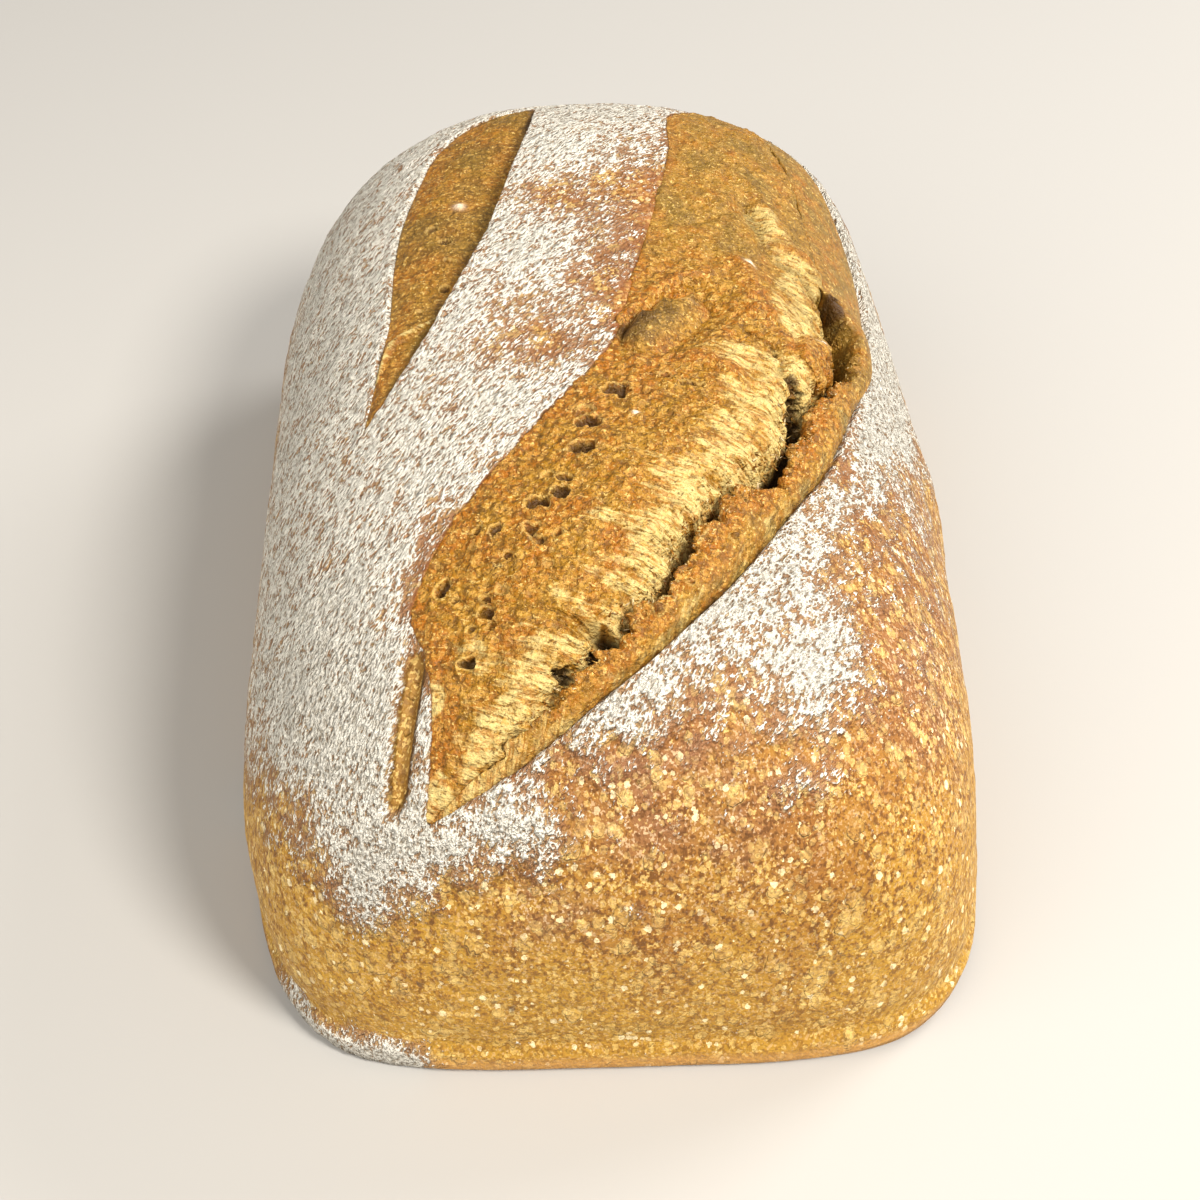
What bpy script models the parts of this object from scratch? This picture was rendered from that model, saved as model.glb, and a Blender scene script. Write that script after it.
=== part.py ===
"""Rye sourdough loaf with two slashes, the wide one burst open behind a torn lip.

Metres, +Z up. The origin is the middle of the flat base, and the loaf's length runs along Y.
"""

import bmesh
import bpy
import numpy as np
from mathutils import Vector, noise

MM = 0.001

# The loaf, without its slashes
WIDTH = 130 * MM
LENGTH = 190 * MM
HEIGHT = 86 * MM
OUTLINE_SQUARENESS = (4.8, 2.3)  # superellipse exponent seen from above, at the base and at the top
SIDE_FULLNESS = 2.43  # exponent of the rounded cross-section
END_FULLNESS = 3.94  # exponent of the rounded long section
TOP_LEAN = -3 * MM  # the crown sits a little to the left
FOOT_HEIGHT = 6.5 * MM  # skin that spread where the loaf stood
FOOT_STEP = 0.9 * MM
FOOT_EDGE = 1.4 * MM  # rounding under the foot
BASE_INSET = 1.2 * MM
CORE_HEIGHT = 30 * MM  # the box's points are pushed out to the skin from here
LUMP_SIZE = 42 * MM
LUMP_DEPTH = 1.1 * MM

# Swells and dips of the skin: x, y and z of the middle, reach, height
SWELLS = (
    (-65 * MM, -38 * MM, 6 * MM, 9 * MM, 1.6 * MM),
    (-62 * MM, -74 * MM, 6 * MM, 14 * MM, -1.2 * MM),
    (-52 * MM, 24 * MM, 52 * MM, 12 * MM, 1.2 * MM),
    (-55 * MM, -14 * MM, 48 * MM, 14 * MM, 0.8 * MM),
    (59 * MM, 0 * MM, 38 * MM, 14 * MM, 1.5 * MM),
    (60 * MM, -84 * MM, 10 * MM, 14 * MM, 0.6 * MM),
    (-12 * MM, 60 * MM, 80 * MM, 26 * MM, 0.9 * MM),
)

# The wide slash runs from its near tip to its far tip. Its edges, its crack and the sizes of the crack
# are given as (distance from the near tip, value) in millimetres, with positive across to the right.
WIDE_NEAR_TIP = (-30 * MM, -87 * MM)
WIDE_FAR_TIP = (25 * MM, 72 * MM)
WIDE_LEFT = ((0, 0), (8, -1.7), (17, -5.0), (25, -10.8), (32, -10.4), (45, -7.2), (63, -1.7), (83, 3.2),
             (102, 1.2), (125, -1.1), (140, -3.6), (156, -7.7), (163, -6.0), (168, 3))
WIDE_RIGHT = ((0, 0), (3, 5.6), (8, 12.8), (17, 20.9), (27, 28.1), (42, 35.2), (60, 39.8), (77, 42.8),
              (98, 42.8), (113, 41.5), (128, 39.5), (140, 36.8), (154, 29.0), (162, 20.5), (168, 3))
CRACK_LINE = ((0, 0), (5, 5.6), (11, 11.2), (18, 16.0), (27, 22.4), (38, 26.5), (51, 29.3), (56, 32.4),
              (60, 35.0), (69, 36.3), (80, 36.2), (93, 37.9), (98, 39.2), (110, 36.0), (118, 31.0),
              (126, 27.0), (145, 18), (168, 3))
CRACK_HALF_OPENING = ((0, 0.1), (8, 0.4), (18, 0.5), (27, 1.4), (32, 1.0), (40, 1.5), (50, 0.9), (57, 1.6),
                      (63, 2.0), (70, 1.3), (77, 2.3), (84, 1.0), (94, 1.0), (102, 1.5), (108, 2.3),
                      (115, 1.3), (122, 0.5), (135, 0.3), (168, 0.1))
CRACK_DEPTH = ((0, 0), (6, 0.8), (18, 1.6), (27, 4.5), (32, 3.2), (40, 5.5), (50, 4.5), (57, 7), (63, 8.5),
               (70, 6), (77, 8.5), (84, 4), (94, 4), (102, 7.5), (108, 12), (115, 7), (122, 2.2), (135, 0.4),
               (168, 0))
LIP_RISE = ((0, 0), (10, 0.8), (25, 1.8), (45, 2.6), (60, 2.2), (75, 2.6), (92, 2.4), (104, 4.2), (114, 3.6),
            (124, 1.6), (140, 0.8), (168, 0))
BLOOM_RISE = ((0, 0), (10, 0.8), (30, 2.2), (55, 3.4), (85, 3.2), (110, 2.2), (135, 1.4), (156, 0.6), (168, 0))
WIDE_SLASH = (WIDE_NEAR_TIP, WIDE_FAR_TIP, WIDE_LEFT, WIDE_RIGHT)
EDGE_DROP = 0.9 * MM  # how far the torn face starts below the skin at the wide slash's edges
LIP_TEAR = 0.8 * MM  # raggedness of the lip's torn rim
TEAR_LENGTH = 3.2 * MM

# The narrow slash on the far left, in the same way
NARROW_NEAR_TIP = (-41 * MM, -21 * MM)
NARROW_FAR_TIP = (-11.6 * MM, 67 * MM)
NARROW_LEFT = ((0, 0), (9, -1.8), (17, -3.6), (24, -4.8), (31, -7.0), (42, -10.6), (53, -13.3), (63, -14.4),
               (73, -14.9), (82, -13.1), (90, -6.8), (92.8, 0))
NARROW_RIGHT = ((0, 0), (7, 1.7), (14, 3.0), (21, 4.2), (32, 4.9), (44, 5.3), (57, 4.5), (69, 3.4), (80, 2.4),
                (92.8, 0))
NARROW_DEPTH = ((0, 0), (12, 1.4), (30, 2.8), (60, 3.2), (80, 2.2), (92.8, 0))
NARROW_SLASH = (NARROW_NEAR_TIP, NARROW_FAR_TIP, NARROW_LEFT, NARROW_RIGHT)

# The short nick beside the wide slash's near tip
NICK_TOP = (-31.0 * MM, -66.0 * MM)
NICK_BOTTOM = (-34.8 * MM, -85 * MM)
NICK_HALF_WIDTH = 1.6 * MM
NICK_DEPTH = 1.9 * MM

# The smooth hollow in the torn face, beside the left edge
HOLLOW_CENTRE = (8 * MM, -4 * MM)
HOLLOW_RADII = (11.5 * MM, 7.5 * MM)
HOLLOW_TURN = 0.25
HOLLOW_DEPTH = 2.8 * MM

BOX_SPACING = 3.6 * MM
SLASH_MARGIN = 2.0 * MM
FINEST_SPACING = 0.45 * MM
LINE_REACH = 2.6 * MM  # how far from an edge or a crack the finest squares go
EDGE_SNAP = 0.14 * MM  # points this near a slash's edge are put on it
MOST_TRIANGLES = 9600

CRUST_COLOUR = (0.42, 0.20, 0.055, 1.0)


def curve_through(knots, s):
    """A smooth curve through (place, value) pairs that doesn't overshoot between them."""
    place = np.array([k[0] for k in knots]) * MM
    value = np.array([k[1] for k in knots]) * MM
    step = np.diff(place)
    rate = np.diff(value) / step
    slope = np.zeros_like(place)
    same_way = rate[:-1] * rate[1:] > 0
    slope[1:-1][same_way] = 2 * (rate[:-1] * rate[1:])[same_way] / (rate[:-1] + rate[1:])[same_way]
    slope[0], slope[-1] = rate[0], rate[-1]
    s = np.clip(s, place[0], place[-1])
    i = np.clip(np.searchsorted(place, s, side="right") - 1, 0, len(step) - 1)
    u = (s - place[i]) / step[i]
    return (
        value[i] * (1 + 2 * u) * (1 - u) ** 2
        + slope[i] * step[i] * u * (1 - u) ** 2
        + value[i + 1] * u**2 * (3 - 2 * u)
        + slope[i + 1] * step[i] * u**2 * (u - 1)
    )


def smooth_step(low, high, value):
    u = np.clip((value - low) / (high - low), 0, 1)
    return u * u * (3 - 2 * u)


def noise_at(points, size, seed=0.0):
    """Soft noise from -1 to 1, one value for each point."""
    offset = Vector((seed, 2 * seed, 3 * seed))
    return np.array([noise.noise(Vector(p) / size + offset) for p in points])


def inside_skin(points):
    """Below 1 inside the plain loaf and above 1 outside it."""
    x, y, z = points.T
    rise = np.clip(z / HEIGHT, 0, 0.99999)
    half_width = WIDTH / 2 * (1 - rise**SIDE_FULLNESS) ** (1 / SIDE_FULLNESS)
    half_length = LENGTH / 2 * (1 - rise**END_FULLNESS) ** (1 / END_FULLNESS)
    above_foot = smooth_step(FOOT_HEIGHT - 0.5 * MM, FOOT_HEIGHT + 0.8 * MM, z)
    settled = smooth_step(FOOT_HEIGHT + 1.5 * MM, FOOT_HEIGHT + 10 * MM, z)
    inset = FOOT_STEP * above_foot * (1 - 0.7 * settled)
    inset = inset + BASE_INSET * np.clip(1 - z / FOOT_EDGE, 0, 1) ** 2
    base, top = OUTLINE_SQUARENESS
    power = base + (top - base) * rise**2
    across = np.abs(x - TOP_LEAN * rise) / np.maximum(half_width - inset, 0.05 * MM)
    along = np.abs(y) / np.maximum(half_length - inset, 0.05 * MM)
    value = across**power + along**power
    return np.where((z > HEIGHT) | (z < 0), 9.0, value)


def pushed_to_skin(points):
    """Each point moved out or in along its line from the core, onto the plain loaf's skin."""
    core = np.array([0, 0, CORE_HEIGHT])
    direction = points - core
    direction /= np.linalg.norm(direction, axis=1)[:, None]
    near, far = np.zeros(len(points)), np.full(len(points), LENGTH)
    for _ in range(40):
        middle = (near + far) / 2
        outside = inside_skin(core + direction * middle[:, None]) > 1
        far = np.where(outside, middle, far)
        near = np.where(outside, near, middle)
    return core + direction * near[:, None]


def skin_height(x, y):
    """The height of the plain loaf's top over each place."""
    low, high = np.full(len(x), CORE_HEIGHT / 3), np.full(len(x), HEIGHT)
    for _ in range(40):
        middle = (low + high) / 2
        outside = inside_skin(np.stack([x, y, middle], 1)) > 1
        high = np.where(outside, middle, high)
        low = np.where(outside, low, middle)
    return low


def skin_normal(x, y):
    d = 0.6 * MM
    slope_x = (skin_height(x + d, y) - skin_height(x - d, y)) / (2 * d)
    slope_y = (skin_height(x, y + d) - skin_height(x, y - d)) / (2 * d)
    normal = np.stack([-slope_x, -slope_y, np.ones_like(x)], 1)
    return normal / np.linalg.norm(normal, axis=1)[:, None]


def slash_axes(near_tip, far_tip):
    along = np.array(far_tip) - np.array(near_tip)
    length = np.linalg.norm(along)
    along = along / length
    return length, along, np.array([along[1], -along[0]])


def slash_coordinates(points, near_tip, far_tip):
    """(distance along from the near tip, distance across to the right)."""
    _, along, across = slash_axes(near_tip, far_tip)
    from_tip = points[:, :2] - np.array(near_tip)
    return from_tip @ along, from_tip @ across


def inside_slash(points, slash, margin=0.0):
    near_tip, far_tip, left, right = slash
    s, c = slash_coordinates(points, near_tip, far_tip)
    length = slash_axes(near_tip, far_tip)[0]
    within = (s > -margin) & (s < length + margin) & (points[:, 2] > CORE_HEIGHT)
    return within & (c > curve_through(left, s) - margin) & (c < curve_through(right, s) + margin)


def near_slash_lines(points, slash, *lines):
    """Where the section changes quickly: by the slash's edges and by any other line across it."""
    near_tip, far_tip, left, right = slash
    s, c = slash_coordinates(points, near_tip, far_tip)
    close = np.zeros(len(points), bool)
    for line in (left, right, *lines):
        close |= abs(c - curve_through(line, s)) < LINE_REACH
    return close & inside_slash(points, slash, SLASH_MARGIN)


def wide_profile(s, points):
    """The wide slash's section as (across, height) knots for each distance s, from the left skin to the right."""
    left, right, crack = (curve_through(k, s) for k in (WIDE_LEFT, WIDE_RIGHT, CRACK_LINE))
    tear = LIP_TEAR * noise_at(points, TEAR_LENGTH, 4) * smooth_step(6 * MM, 20 * MM, s)
    opening = curve_through(CRACK_HALF_OPENING, s)
    depth = curve_through(CRACK_DEPTH, s)
    lip, bloom = curve_through(LIP_RISE, s), curve_through(BLOOM_RISE, s)
    face, lip_width = crack - left, right - crack
    ends = smooth_step(0, 10 * MM, s) * smooth_step(0, 12 * MM, 168 * MM - s)
    drop = EDGE_DROP * ends
    none = np.zeros_like(s)
    knots = (
        (left, none),
        (left + 0.04 * face, -drop),
        (left + 0.40 * face, 0.45 * bloom),
        (left + 0.72 * face, bloom),
        (left + 0.90 * face, 0.75 * bloom),
        (crack - opening, 0.1 * bloom),
        (crack - 0.5 * opening, -0.7 * depth),
        (crack + 0.3 * opening, -depth),
        (crack + 1.1 * opening, -0.5 * depth),
        (crack + 0.7 * opening + tear, 0.8 * lip),
        (crack + opening + 0.2 * lip_width, lip),
        (crack + 0.65 * lip_width, 0.8 * lip),
        (right - 0.12 * lip_width, 0.3 * lip),
        (right - 0.06 * lip_width, -drop),
        (right, none),
    )
    return knots


def narrow_profile(s, points):
    """The narrow slash's section: a sloping face under an upright right edge."""
    left, right = (curve_through(k, s) for k in (NARROW_LEFT, NARROW_RIGHT))
    depth = curve_through(NARROW_DEPTH, s)
    face = right - left
    none = np.zeros_like(s)
    return (
        (left, none),
        (left + 0.05 * face, -0.25 * depth),
        (left + 0.35 * face, -0.35 * depth),
        (left + 0.70 * face, -0.75 * depth),
        (left + 0.93 * face, -depth),
        (right + 0.02 * face, -0.6 * depth),
        (right, none),
    )


def along_profile(knots, share):
    """Points at an equal share of the section's own length, so that steep walls get their rows too."""
    c = np.stack([k[0] for k in knots], 1)
    h = np.stack([k[1] for k in knots], 1)
    run = np.hypot(np.diff(c, axis=1), np.diff(h, axis=1)) + 1e-9
    reached = np.concatenate([np.zeros((len(c), 1)), np.cumsum(run, 1)], 1)
    target = share * reached[:, -1]
    row = np.arange(len(c))
    i = np.clip((reached < target[:, None]).sum(1) - 1, 0, run.shape[1] - 1)
    u = (target - reached[row, i]) / run[row, i]
    return c[row, i] * (1 - u) + c[row, i + 1] * u, h[row, i] * (1 - u) + h[row, i + 1] * u


def open_slash(points, slash, profile):
    """Moves the points inside a slash onto its section."""
    near_tip, far_tip, left, right = slash
    chosen = inside_slash(points, slash, EDGE_SNAP)
    p = points[chosen]
    length, along, across = slash_axes(near_tip, far_tip)
    s, c = slash_coordinates(p, near_tip, far_tip)
    s = np.clip(s, 0, length)
    low, high = curve_through(left, s), curve_through(right, s)
    snap = EDGE_SNAP * skin_normal(*p[:, :2].T)[:, 2] ** 2
    c = np.where(c < low + snap, low, np.where(c > high - snap, high, c))
    share = np.clip((c - low) / np.maximum(high - low, 0.01 * MM), 0, 1)
    c, h = along_profile(profile(s, p), share)
    place = np.array(near_tip) + s[:, None] * along + c[:, None] * across
    skin = np.stack([place[:, 0], place[:, 1], skin_height(*place.T)], 1)
    points[chosen] = skin + skin_normal(*place.T) * h[:, None]


def press_nick(points):
    """The short groove beside the wide slash's near tip, deepest in its middle."""
    length, along, across = slash_axes(NICK_BOTTOM, NICK_TOP)
    s, c = slash_coordinates(points, NICK_BOTTOM, NICK_TOP)
    ends = smooth_step(-1 * MM, 3 * MM, s) * smooth_step(-1 * MM, 5 * MM, length - s)
    groove = np.exp(-((c / NICK_HALF_WIDTH) ** 4)) * ends * (points[:, 2] > CORE_HEIGHT)
    return -NICK_DEPTH * groove


def press_hollow(points):
    x, y = points[:, 0] - HOLLOW_CENTRE[0], points[:, 1] - HOLLOW_CENTRE[1]
    cos, sin = np.cos(HOLLOW_TURN), np.sin(HOLLOW_TURN)
    reach = np.hypot((x * cos + y * sin) / HOLLOW_RADII[0], (y * cos - x * sin) / HOLLOW_RADII[1])
    return -HOLLOW_DEPTH * (1 - smooth_step(0.25, 1, reach)) * (points[:, 2] > CORE_HEIGHT)


def swell_skin(points):
    height = np.zeros(len(points))
    for x, y, z, reach, rise in SWELLS:
        away = np.linalg.norm(points - np.array([x, y, z]), axis=1)
        height += rise * np.exp(-((away / reach) ** 2))
    return height * smooth_step(0, FOOT_EDGE, points[:, 2])


def lumps(points):
    above_foot = smooth_step(FOOT_HEIGHT, 4 * FOOT_HEIGHT, points[:, 2])
    return LUMP_DEPTH * noise_at(points, LUMP_SIZE, 1) * above_foot


def gridded_box(bm):
    """A box round the loaf, cut into even squares along each side."""
    bmesh.ops.create_cube(bm, size=1)
    bmesh.ops.scale(bm, vec=(WIDTH, LENGTH, HEIGHT), verts=bm.verts)
    bmesh.ops.translate(bm, vec=(0, 0, HEIGHT / 2), verts=bm.verts)
    for axis, side in enumerate((WIDTH, LENGTH, HEIGHT)):
        run = [e for e in bm.edges if abs(e.verts[0].co[axis] - e.verts[1].co[axis]) > side / 2]
        bmesh.ops.subdivide_edges(bm, edges=run, cuts=round(side / BOX_SPACING) - 1, use_grid_fill=True)


def read_points(bm):
    return np.array([v.co for v in bm.verts])


def write_points(bm, points):
    for vert, place in zip(bm.verts, points):
        vert.co = place


def refine_slashes(bm):
    """Cuts the squares in and near a slash until they are as fine as the torn edges need."""
    spacing = BOX_SPACING
    while spacing > FINEST_SPACING * 1.5:
        middles = np.array([f.calc_center_median() for f in bm.faces])
        if spacing > 2.5 * FINEST_SPACING:
            picked = inside_slash(middles, WIDE_SLASH, SLASH_MARGIN)
            picked |= inside_slash(middles, NARROW_SLASH, SLASH_MARGIN) | (press_nick(middles) < -0.02 * MM)
        else:
            picked = near_slash_lines(middles, WIDE_SLASH, CRACK_LINE) | near_slash_lines(middles, NARROW_SLASH)
        edges = {e for f, chosen in zip(bm.faces, picked) if chosen for e in f.edges}
        bmesh.ops.subdivide_edges(bm, edges=list(edges), cuts=1, use_grid_fill=True)
        bmesh.ops.triangulate(bm, faces=[f for f in bm.faces if len(f.verts) > 4])
        write_points(bm, pushed_to_skin(read_points(bm)))
        spacing /= 2


def bake_loaf():
    bm = bmesh.new()
    gridded_box(bm)
    write_points(bm, pushed_to_skin(read_points(bm)))
    refine_slashes(bm)
    bm.normal_update()
    normals = np.array([v.normal for v in bm.verts])
    points = read_points(bm)
    open_slash(points, WIDE_SLASH, wide_profile)
    open_slash(points, NARROW_SLASH, narrow_profile)
    relief = press_nick(points) + press_hollow(points) + swell_skin(points) + lumps(points)
    points += normals * relief[:, None]
    points[:, :2] -= (points.min(0) + points.max(0))[:2] / 2
    write_points(bm, points)
    bmesh.ops.triangulate(bm, faces=bm.faces)
    mesh = bpy.data.meshes.new("loaf")
    bm.to_mesh(mesh)
    bm.free()
    return mesh


def crust_material():
    material = bpy.data.materials.new("rye_crust")
    material.use_nodes = True
    shader = material.node_tree.nodes["Principled BSDF"]
    shader.inputs["Base Color"].default_value = CRUST_COLOUR
    shader.inputs["Roughness"].default_value = 0.75
    shader.inputs["Metallic"].default_value = 0.0
    return material


def main():
    for old in list(bpy.data.objects):
        bpy.data.objects.remove(old, do_unlink=True)
    collection = bpy.data.collections.new("rye_sourdough_loaf")
    bpy.context.scene.collection.children.link(collection)
    mesh = bake_loaf()
    mesh.materials.append(crust_material())
    mesh.shade_smooth()
    loaf = bpy.data.objects.new("loaf", mesh)
    collection.objects.link(loaf)
    thin_out = loaf.modifiers.new("thin_out", "DECIMATE")
    thin_out.ratio = MOST_TRIANGLES / len(mesh.polygons)


main()
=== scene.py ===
import math

import bmesh
import bpy
import numpy as np
from mathutils import Matrix, Vector, noise


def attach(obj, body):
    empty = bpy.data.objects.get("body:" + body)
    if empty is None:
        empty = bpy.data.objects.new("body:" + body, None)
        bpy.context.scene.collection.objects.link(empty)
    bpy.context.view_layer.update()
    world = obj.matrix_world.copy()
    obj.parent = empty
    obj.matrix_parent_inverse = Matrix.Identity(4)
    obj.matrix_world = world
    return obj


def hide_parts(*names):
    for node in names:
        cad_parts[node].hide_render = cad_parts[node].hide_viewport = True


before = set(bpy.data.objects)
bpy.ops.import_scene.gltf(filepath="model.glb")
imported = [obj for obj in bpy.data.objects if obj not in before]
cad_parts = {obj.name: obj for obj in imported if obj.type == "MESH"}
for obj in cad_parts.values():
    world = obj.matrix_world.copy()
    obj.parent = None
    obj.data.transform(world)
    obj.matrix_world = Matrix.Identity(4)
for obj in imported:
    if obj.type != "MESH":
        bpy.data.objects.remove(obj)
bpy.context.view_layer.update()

# every size is in millimetres until a mesh is written
mm = 0.001
shiftToMiddle = Vector((0.75, 0, 0)) * mm  # from the loaf's own middle to the frame's

loafShape = {
    "width": 130,
    "length": 190,
    "height": 86,
    "squarenessBase": 4.8,  # outline seen from above, higher is squarer
    "squarenessTop": 2.3,
    "sideFullness": 2.43,
    "endFullness": 3.94,
    "topLean": -3,
    "footHeight": 6.5,
    "footStep": 0.9,
    "footEdge": 1.4,
    "baseInset": 1.2,
    "core": 30,  # the skin is found along lines from this height
    "lumpSize": 42,
    "lumpDepth": 1.1,
    "swells": (  # x, y, z, reach, rise
        (-65, -38, 6, 9, 1.6),
        (-62, -74, 6, 14, -1.2),
        (-52, 24, 52, 12, 1.2),
        (-55, -14, 48, 14, 0.8),
        (59, 0, 38, 14, 1.5),
        (60, -84, 10, 14, 0.6),
        (-12, 60, 80, 26, 0.9),
        (41, 58, 69, 19, 3.6),
    ),
}

# slash lines are (distance from the near tip, value); across to the right is positive
wideSlash = {
    "nearTip": (-30, -87),
    "farTip": (25, 72),
    "left": ((0, 0), (8, -1.7), (17, -5.0), (25, -10.8), (32, -10.4), (45, -7.2), (63, -1.7), (83, 3.2),
             (102, 1.2), (125, -1.1), (140, -3.6), (156, -7.7), (163, -6.0), (168, 3)),
    "right": ((0, 0), (3, 5.6), (8, 12.8), (17, 20.9), (27, 28.1), (42, 35.2), (60, 39.8), (77, 42.8),
              (98, 42.8), (113, 41.5), (128, 39.5), (140, 36.0), (152, 26.5), (161, 16.5), (168, 3)),
    "crack": ((0, 0), (5, 5.6), (11, 11.2), (18, 16.0), (27, 22.4), (38, 26.5), (51, 29.3), (56, 32.4),
              (60, 35.0), (69, 36.3), (80, 36.2), (93, 37.9), (98, 39.2), (110, 36.0), (118, 31.0),
              (126, 27.0), (145, 18), (168, 3)),
    "opening": ((0, 0.1), (8, 0.35), (18, 0.6), (27, 1.6), (32, 1.2), (40, 1.8), (50, 1.2), (57, 1.9),
                (63, 2.2), (70, 1.4), (77, 2.3), (84, 1.2), (92, 1.0), (97, 1.5), (103, 2.4), (110, 1.7),
                (115, 0.5), (122, 0.1), (168, 0.1)),
    "depth": ((0, 0), (6, 0.8), (18, 1.6), (27, 4.5), (32, 3.2), (40, 5.5), (50, 4.5), (57, 7), (63, 8.5),
              (70, 6), (77, 8.5), (84, 3), (92, 4), (97, 9), (103, 12), (110, 10), (115, 3), (120, 0.3),
              (168, 0)),
    "lip": ((0, 0), (10, 0.8), (25, 1.8), (45, 2.6), (60, 2.2), (75, 2.6), (92, 2.4), (104, 4.2), (114, 3.6),
            (124, 1.6), (140, 0.8), (168, 0)),
    "bloom": ((0, 0), (10, 0.8), (30, 2.2), (55, 3.4), (85, 3.2), (110, 2.2), (135, 1.4), (156, 0.6),
              (168, 0)),
    "fades": (0, 10, 156, 168),
    "tornFrom": (0.3, 2.0),  # the depths between which it turns from a join into a tear
}

narrowSlash = {
    "nearTip": (-41, -21),
    "farTip": (-11.6, 67),
    "left": ((0, 0), (9, -1.8), (17, -3.6), (24, -4.8), (31, -7.0), (42, -10.6), (53, -13.3), (63, -14.4),
             (73, -14.9), (82, -13.1), (90, -6.8), (92.8, 0)),
    "right": ((0, 0), (7, 1.7), (14, 3.0), (21, 4.2), (32, 4.9), (44, 5.3), (57, 4.5), (69, 3.4), (80, 2.4),
              (92.8, 0)),
    "depth": ((0, 0), (12, 1.6), (30, 3.2), (60, 3.8), (80, 2.5), (92.8, 0)),
    "fades": (0, 8, 85, 92),
}

nick = {"top": (-31.0, -66.0), "bottom": (-34.8, -85), "halfWidth": 2.0, "depth": 1.9, "wallWidth": 0.5}


def smoothStep(low, high, value):
    u = limited((value - low) / (high - low))
    return u * u * (3 - 2 * u)


def between(low, lowFull, highFull, high, value):
    return smoothStep(low, lowFull, value) * smoothStep(high, highFull, value)


def limited(values):
    return np.clip(values, 0, 1)


def bell(distance, reach):
    return np.exp(-((distance / reach) ** 2))


def farFrom(points, *place):
    return np.linalg.norm(points - np.array(place), axis=1)


def seedOffset(seed):
    return Vector((seed * 1.7, seed * 2.3, seed * 3.1))


def softNoise(points, size, seed):
    # the seed picks one of many unlike patterns
    offset = seedOffset(seed)
    return np.array([noise.noise(Vector(p) / size + offset) for p in points])


def lineNoise(s, size, seed):
    return softNoise(np.stack([s, np.zeros_like(s), np.zeros_like(s)], 1), size, seed)


def layeredNoise(points, layers, seed):
    # the sum of soft noises of several sizes and depths
    return sum(depth * softNoise(points, size, seed + i) for i, (size, depth) in enumerate(layers))


def cellNoise(points, size, seed):
    # distance to the nearest cell's middle, in cell sizes
    offset = seedOffset(seed)
    return np.array([noise.voronoi(Vector(p) / size + offset)[0][0] for p in points])


def curveThrough(knots, s):
    place = np.array([k[0] for k in knots], float)
    value = np.array([k[1] for k in knots], float)
    step = np.diff(place)
    rate = np.diff(value) / step
    slope = np.zeros_like(place)
    sameWay = rate[:-1] * rate[1:] > 0
    slope[1:-1][sameWay] = 2 * (rate[:-1] * rate[1:])[sameWay] / (rate[:-1] + rate[1:])[sameWay]
    slope[0], slope[-1] = rate[0], rate[-1]
    s = np.clip(s, place[0], place[-1])
    i = np.clip(np.searchsorted(place, s, side="right") - 1, 0, len(step) - 1)
    u = (s - place[i]) / step[i]
    return (
        value[i] * (1 + 2 * u) * (1 - u) ** 2
        + slope[i] * step[i] * u * (1 - u) ** 2
        + value[i + 1] * u**2 * (3 - 2 * u)
        + slope[i + 1] * step[i] * u**2 * (u - 1)
    )


def insideSkin(points):
    # below 1 inside the loaf, 1 on its skin and above 1 outside
    v = loafShape
    x, y, z = points.T
    rise = np.clip(z / v["height"], 0, 0.99999)
    halfWidth = v["width"] / 2 * (1 - rise ** v["sideFullness"]) ** (1 / v["sideFullness"])
    halfLength = v["length"] / 2 * (1 - rise ** v["endFullness"]) ** (1 / v["endFullness"])
    foot = v["footHeight"]
    inset = v["footStep"] * smoothStep(foot - 0.5, foot + 0.8, z)
    inset *= 1 - 0.7 * smoothStep(foot + 1.5, foot + 10, z)
    inset += v["baseInset"] * limited(1 - z / v["footEdge"]) ** 2
    power = v["squarenessBase"] + (v["squarenessTop"] - v["squarenessBase"]) * rise**2
    across = np.abs(x - v["topLean"] * rise) / np.maximum(halfWidth - inset, 0.05)
    along = np.abs(y) / np.maximum(halfLength - inset, 0.05)
    return np.where((z > v["height"]) | (z < 0), 9.0, across**power + along**power)


def pushedToSkin(points):
    core = np.array([0, 0, loafShape["core"]])
    direction = points - core
    direction /= np.linalg.norm(direction, axis=1)[:, None]
    near, far = np.zeros(len(points)), np.full(len(points), float(loafShape["length"]))
    for _ in range(30):
        middle = (near + far) / 2
        outside = insideSkin(core + direction * middle[:, None]) > 1
        far = np.where(outside, middle, far)
        near = np.where(outside, near, middle)
    return core + direction * near[:, None]


def skinHeight(x, y):
    low, high = np.full(len(x), loafShape["core"] / 3), np.full(len(x), float(loafShape["height"]))
    for _ in range(24):
        middle = (low + high) / 2
        outside = insideSkin(np.stack([x, y, middle], 1)) > 1
        high = np.where(outside, middle, high)
        low = np.where(outside, low, middle)
    return low


def skinAt(x, y):
    # the place on the skin over (x, y), and its normal
    d = 0.6
    z = skinHeight(x, y)
    slopeX = (skinHeight(x + d, y) - skinHeight(x - d, y)) / (2 * d)
    slopeY = (skinHeight(x, y + d) - skinHeight(x, y - d)) / (2 * d)
    normal = np.stack([-slopeX, -slopeY, np.ones_like(x)], 1)
    return np.stack([x, y, z], 1), normal / np.linalg.norm(normal, axis=1)[:, None]


def swells(points):
    v = loafShape
    rise = v["lumpDepth"] * softNoise(points, v["lumpSize"], 1)
    rise *= smoothStep(v["footHeight"], 4 * v["footHeight"], points[:, 2])
    for x, y, z, reach, height in v["swells"]:
        rise += height * bell(farFrom(points, x, y, z), reach) * smoothStep(0, v["footEdge"], points[:, 2])
    return rise


def wide(name, s):
    return curveThrough(wideSlash[name], s)


def narrow(name, s):
    return curveThrough(narrowSlash[name], s)


def tornShare(depth):
    return smoothStep(*wideSlash["tornFrom"], depth)


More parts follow.
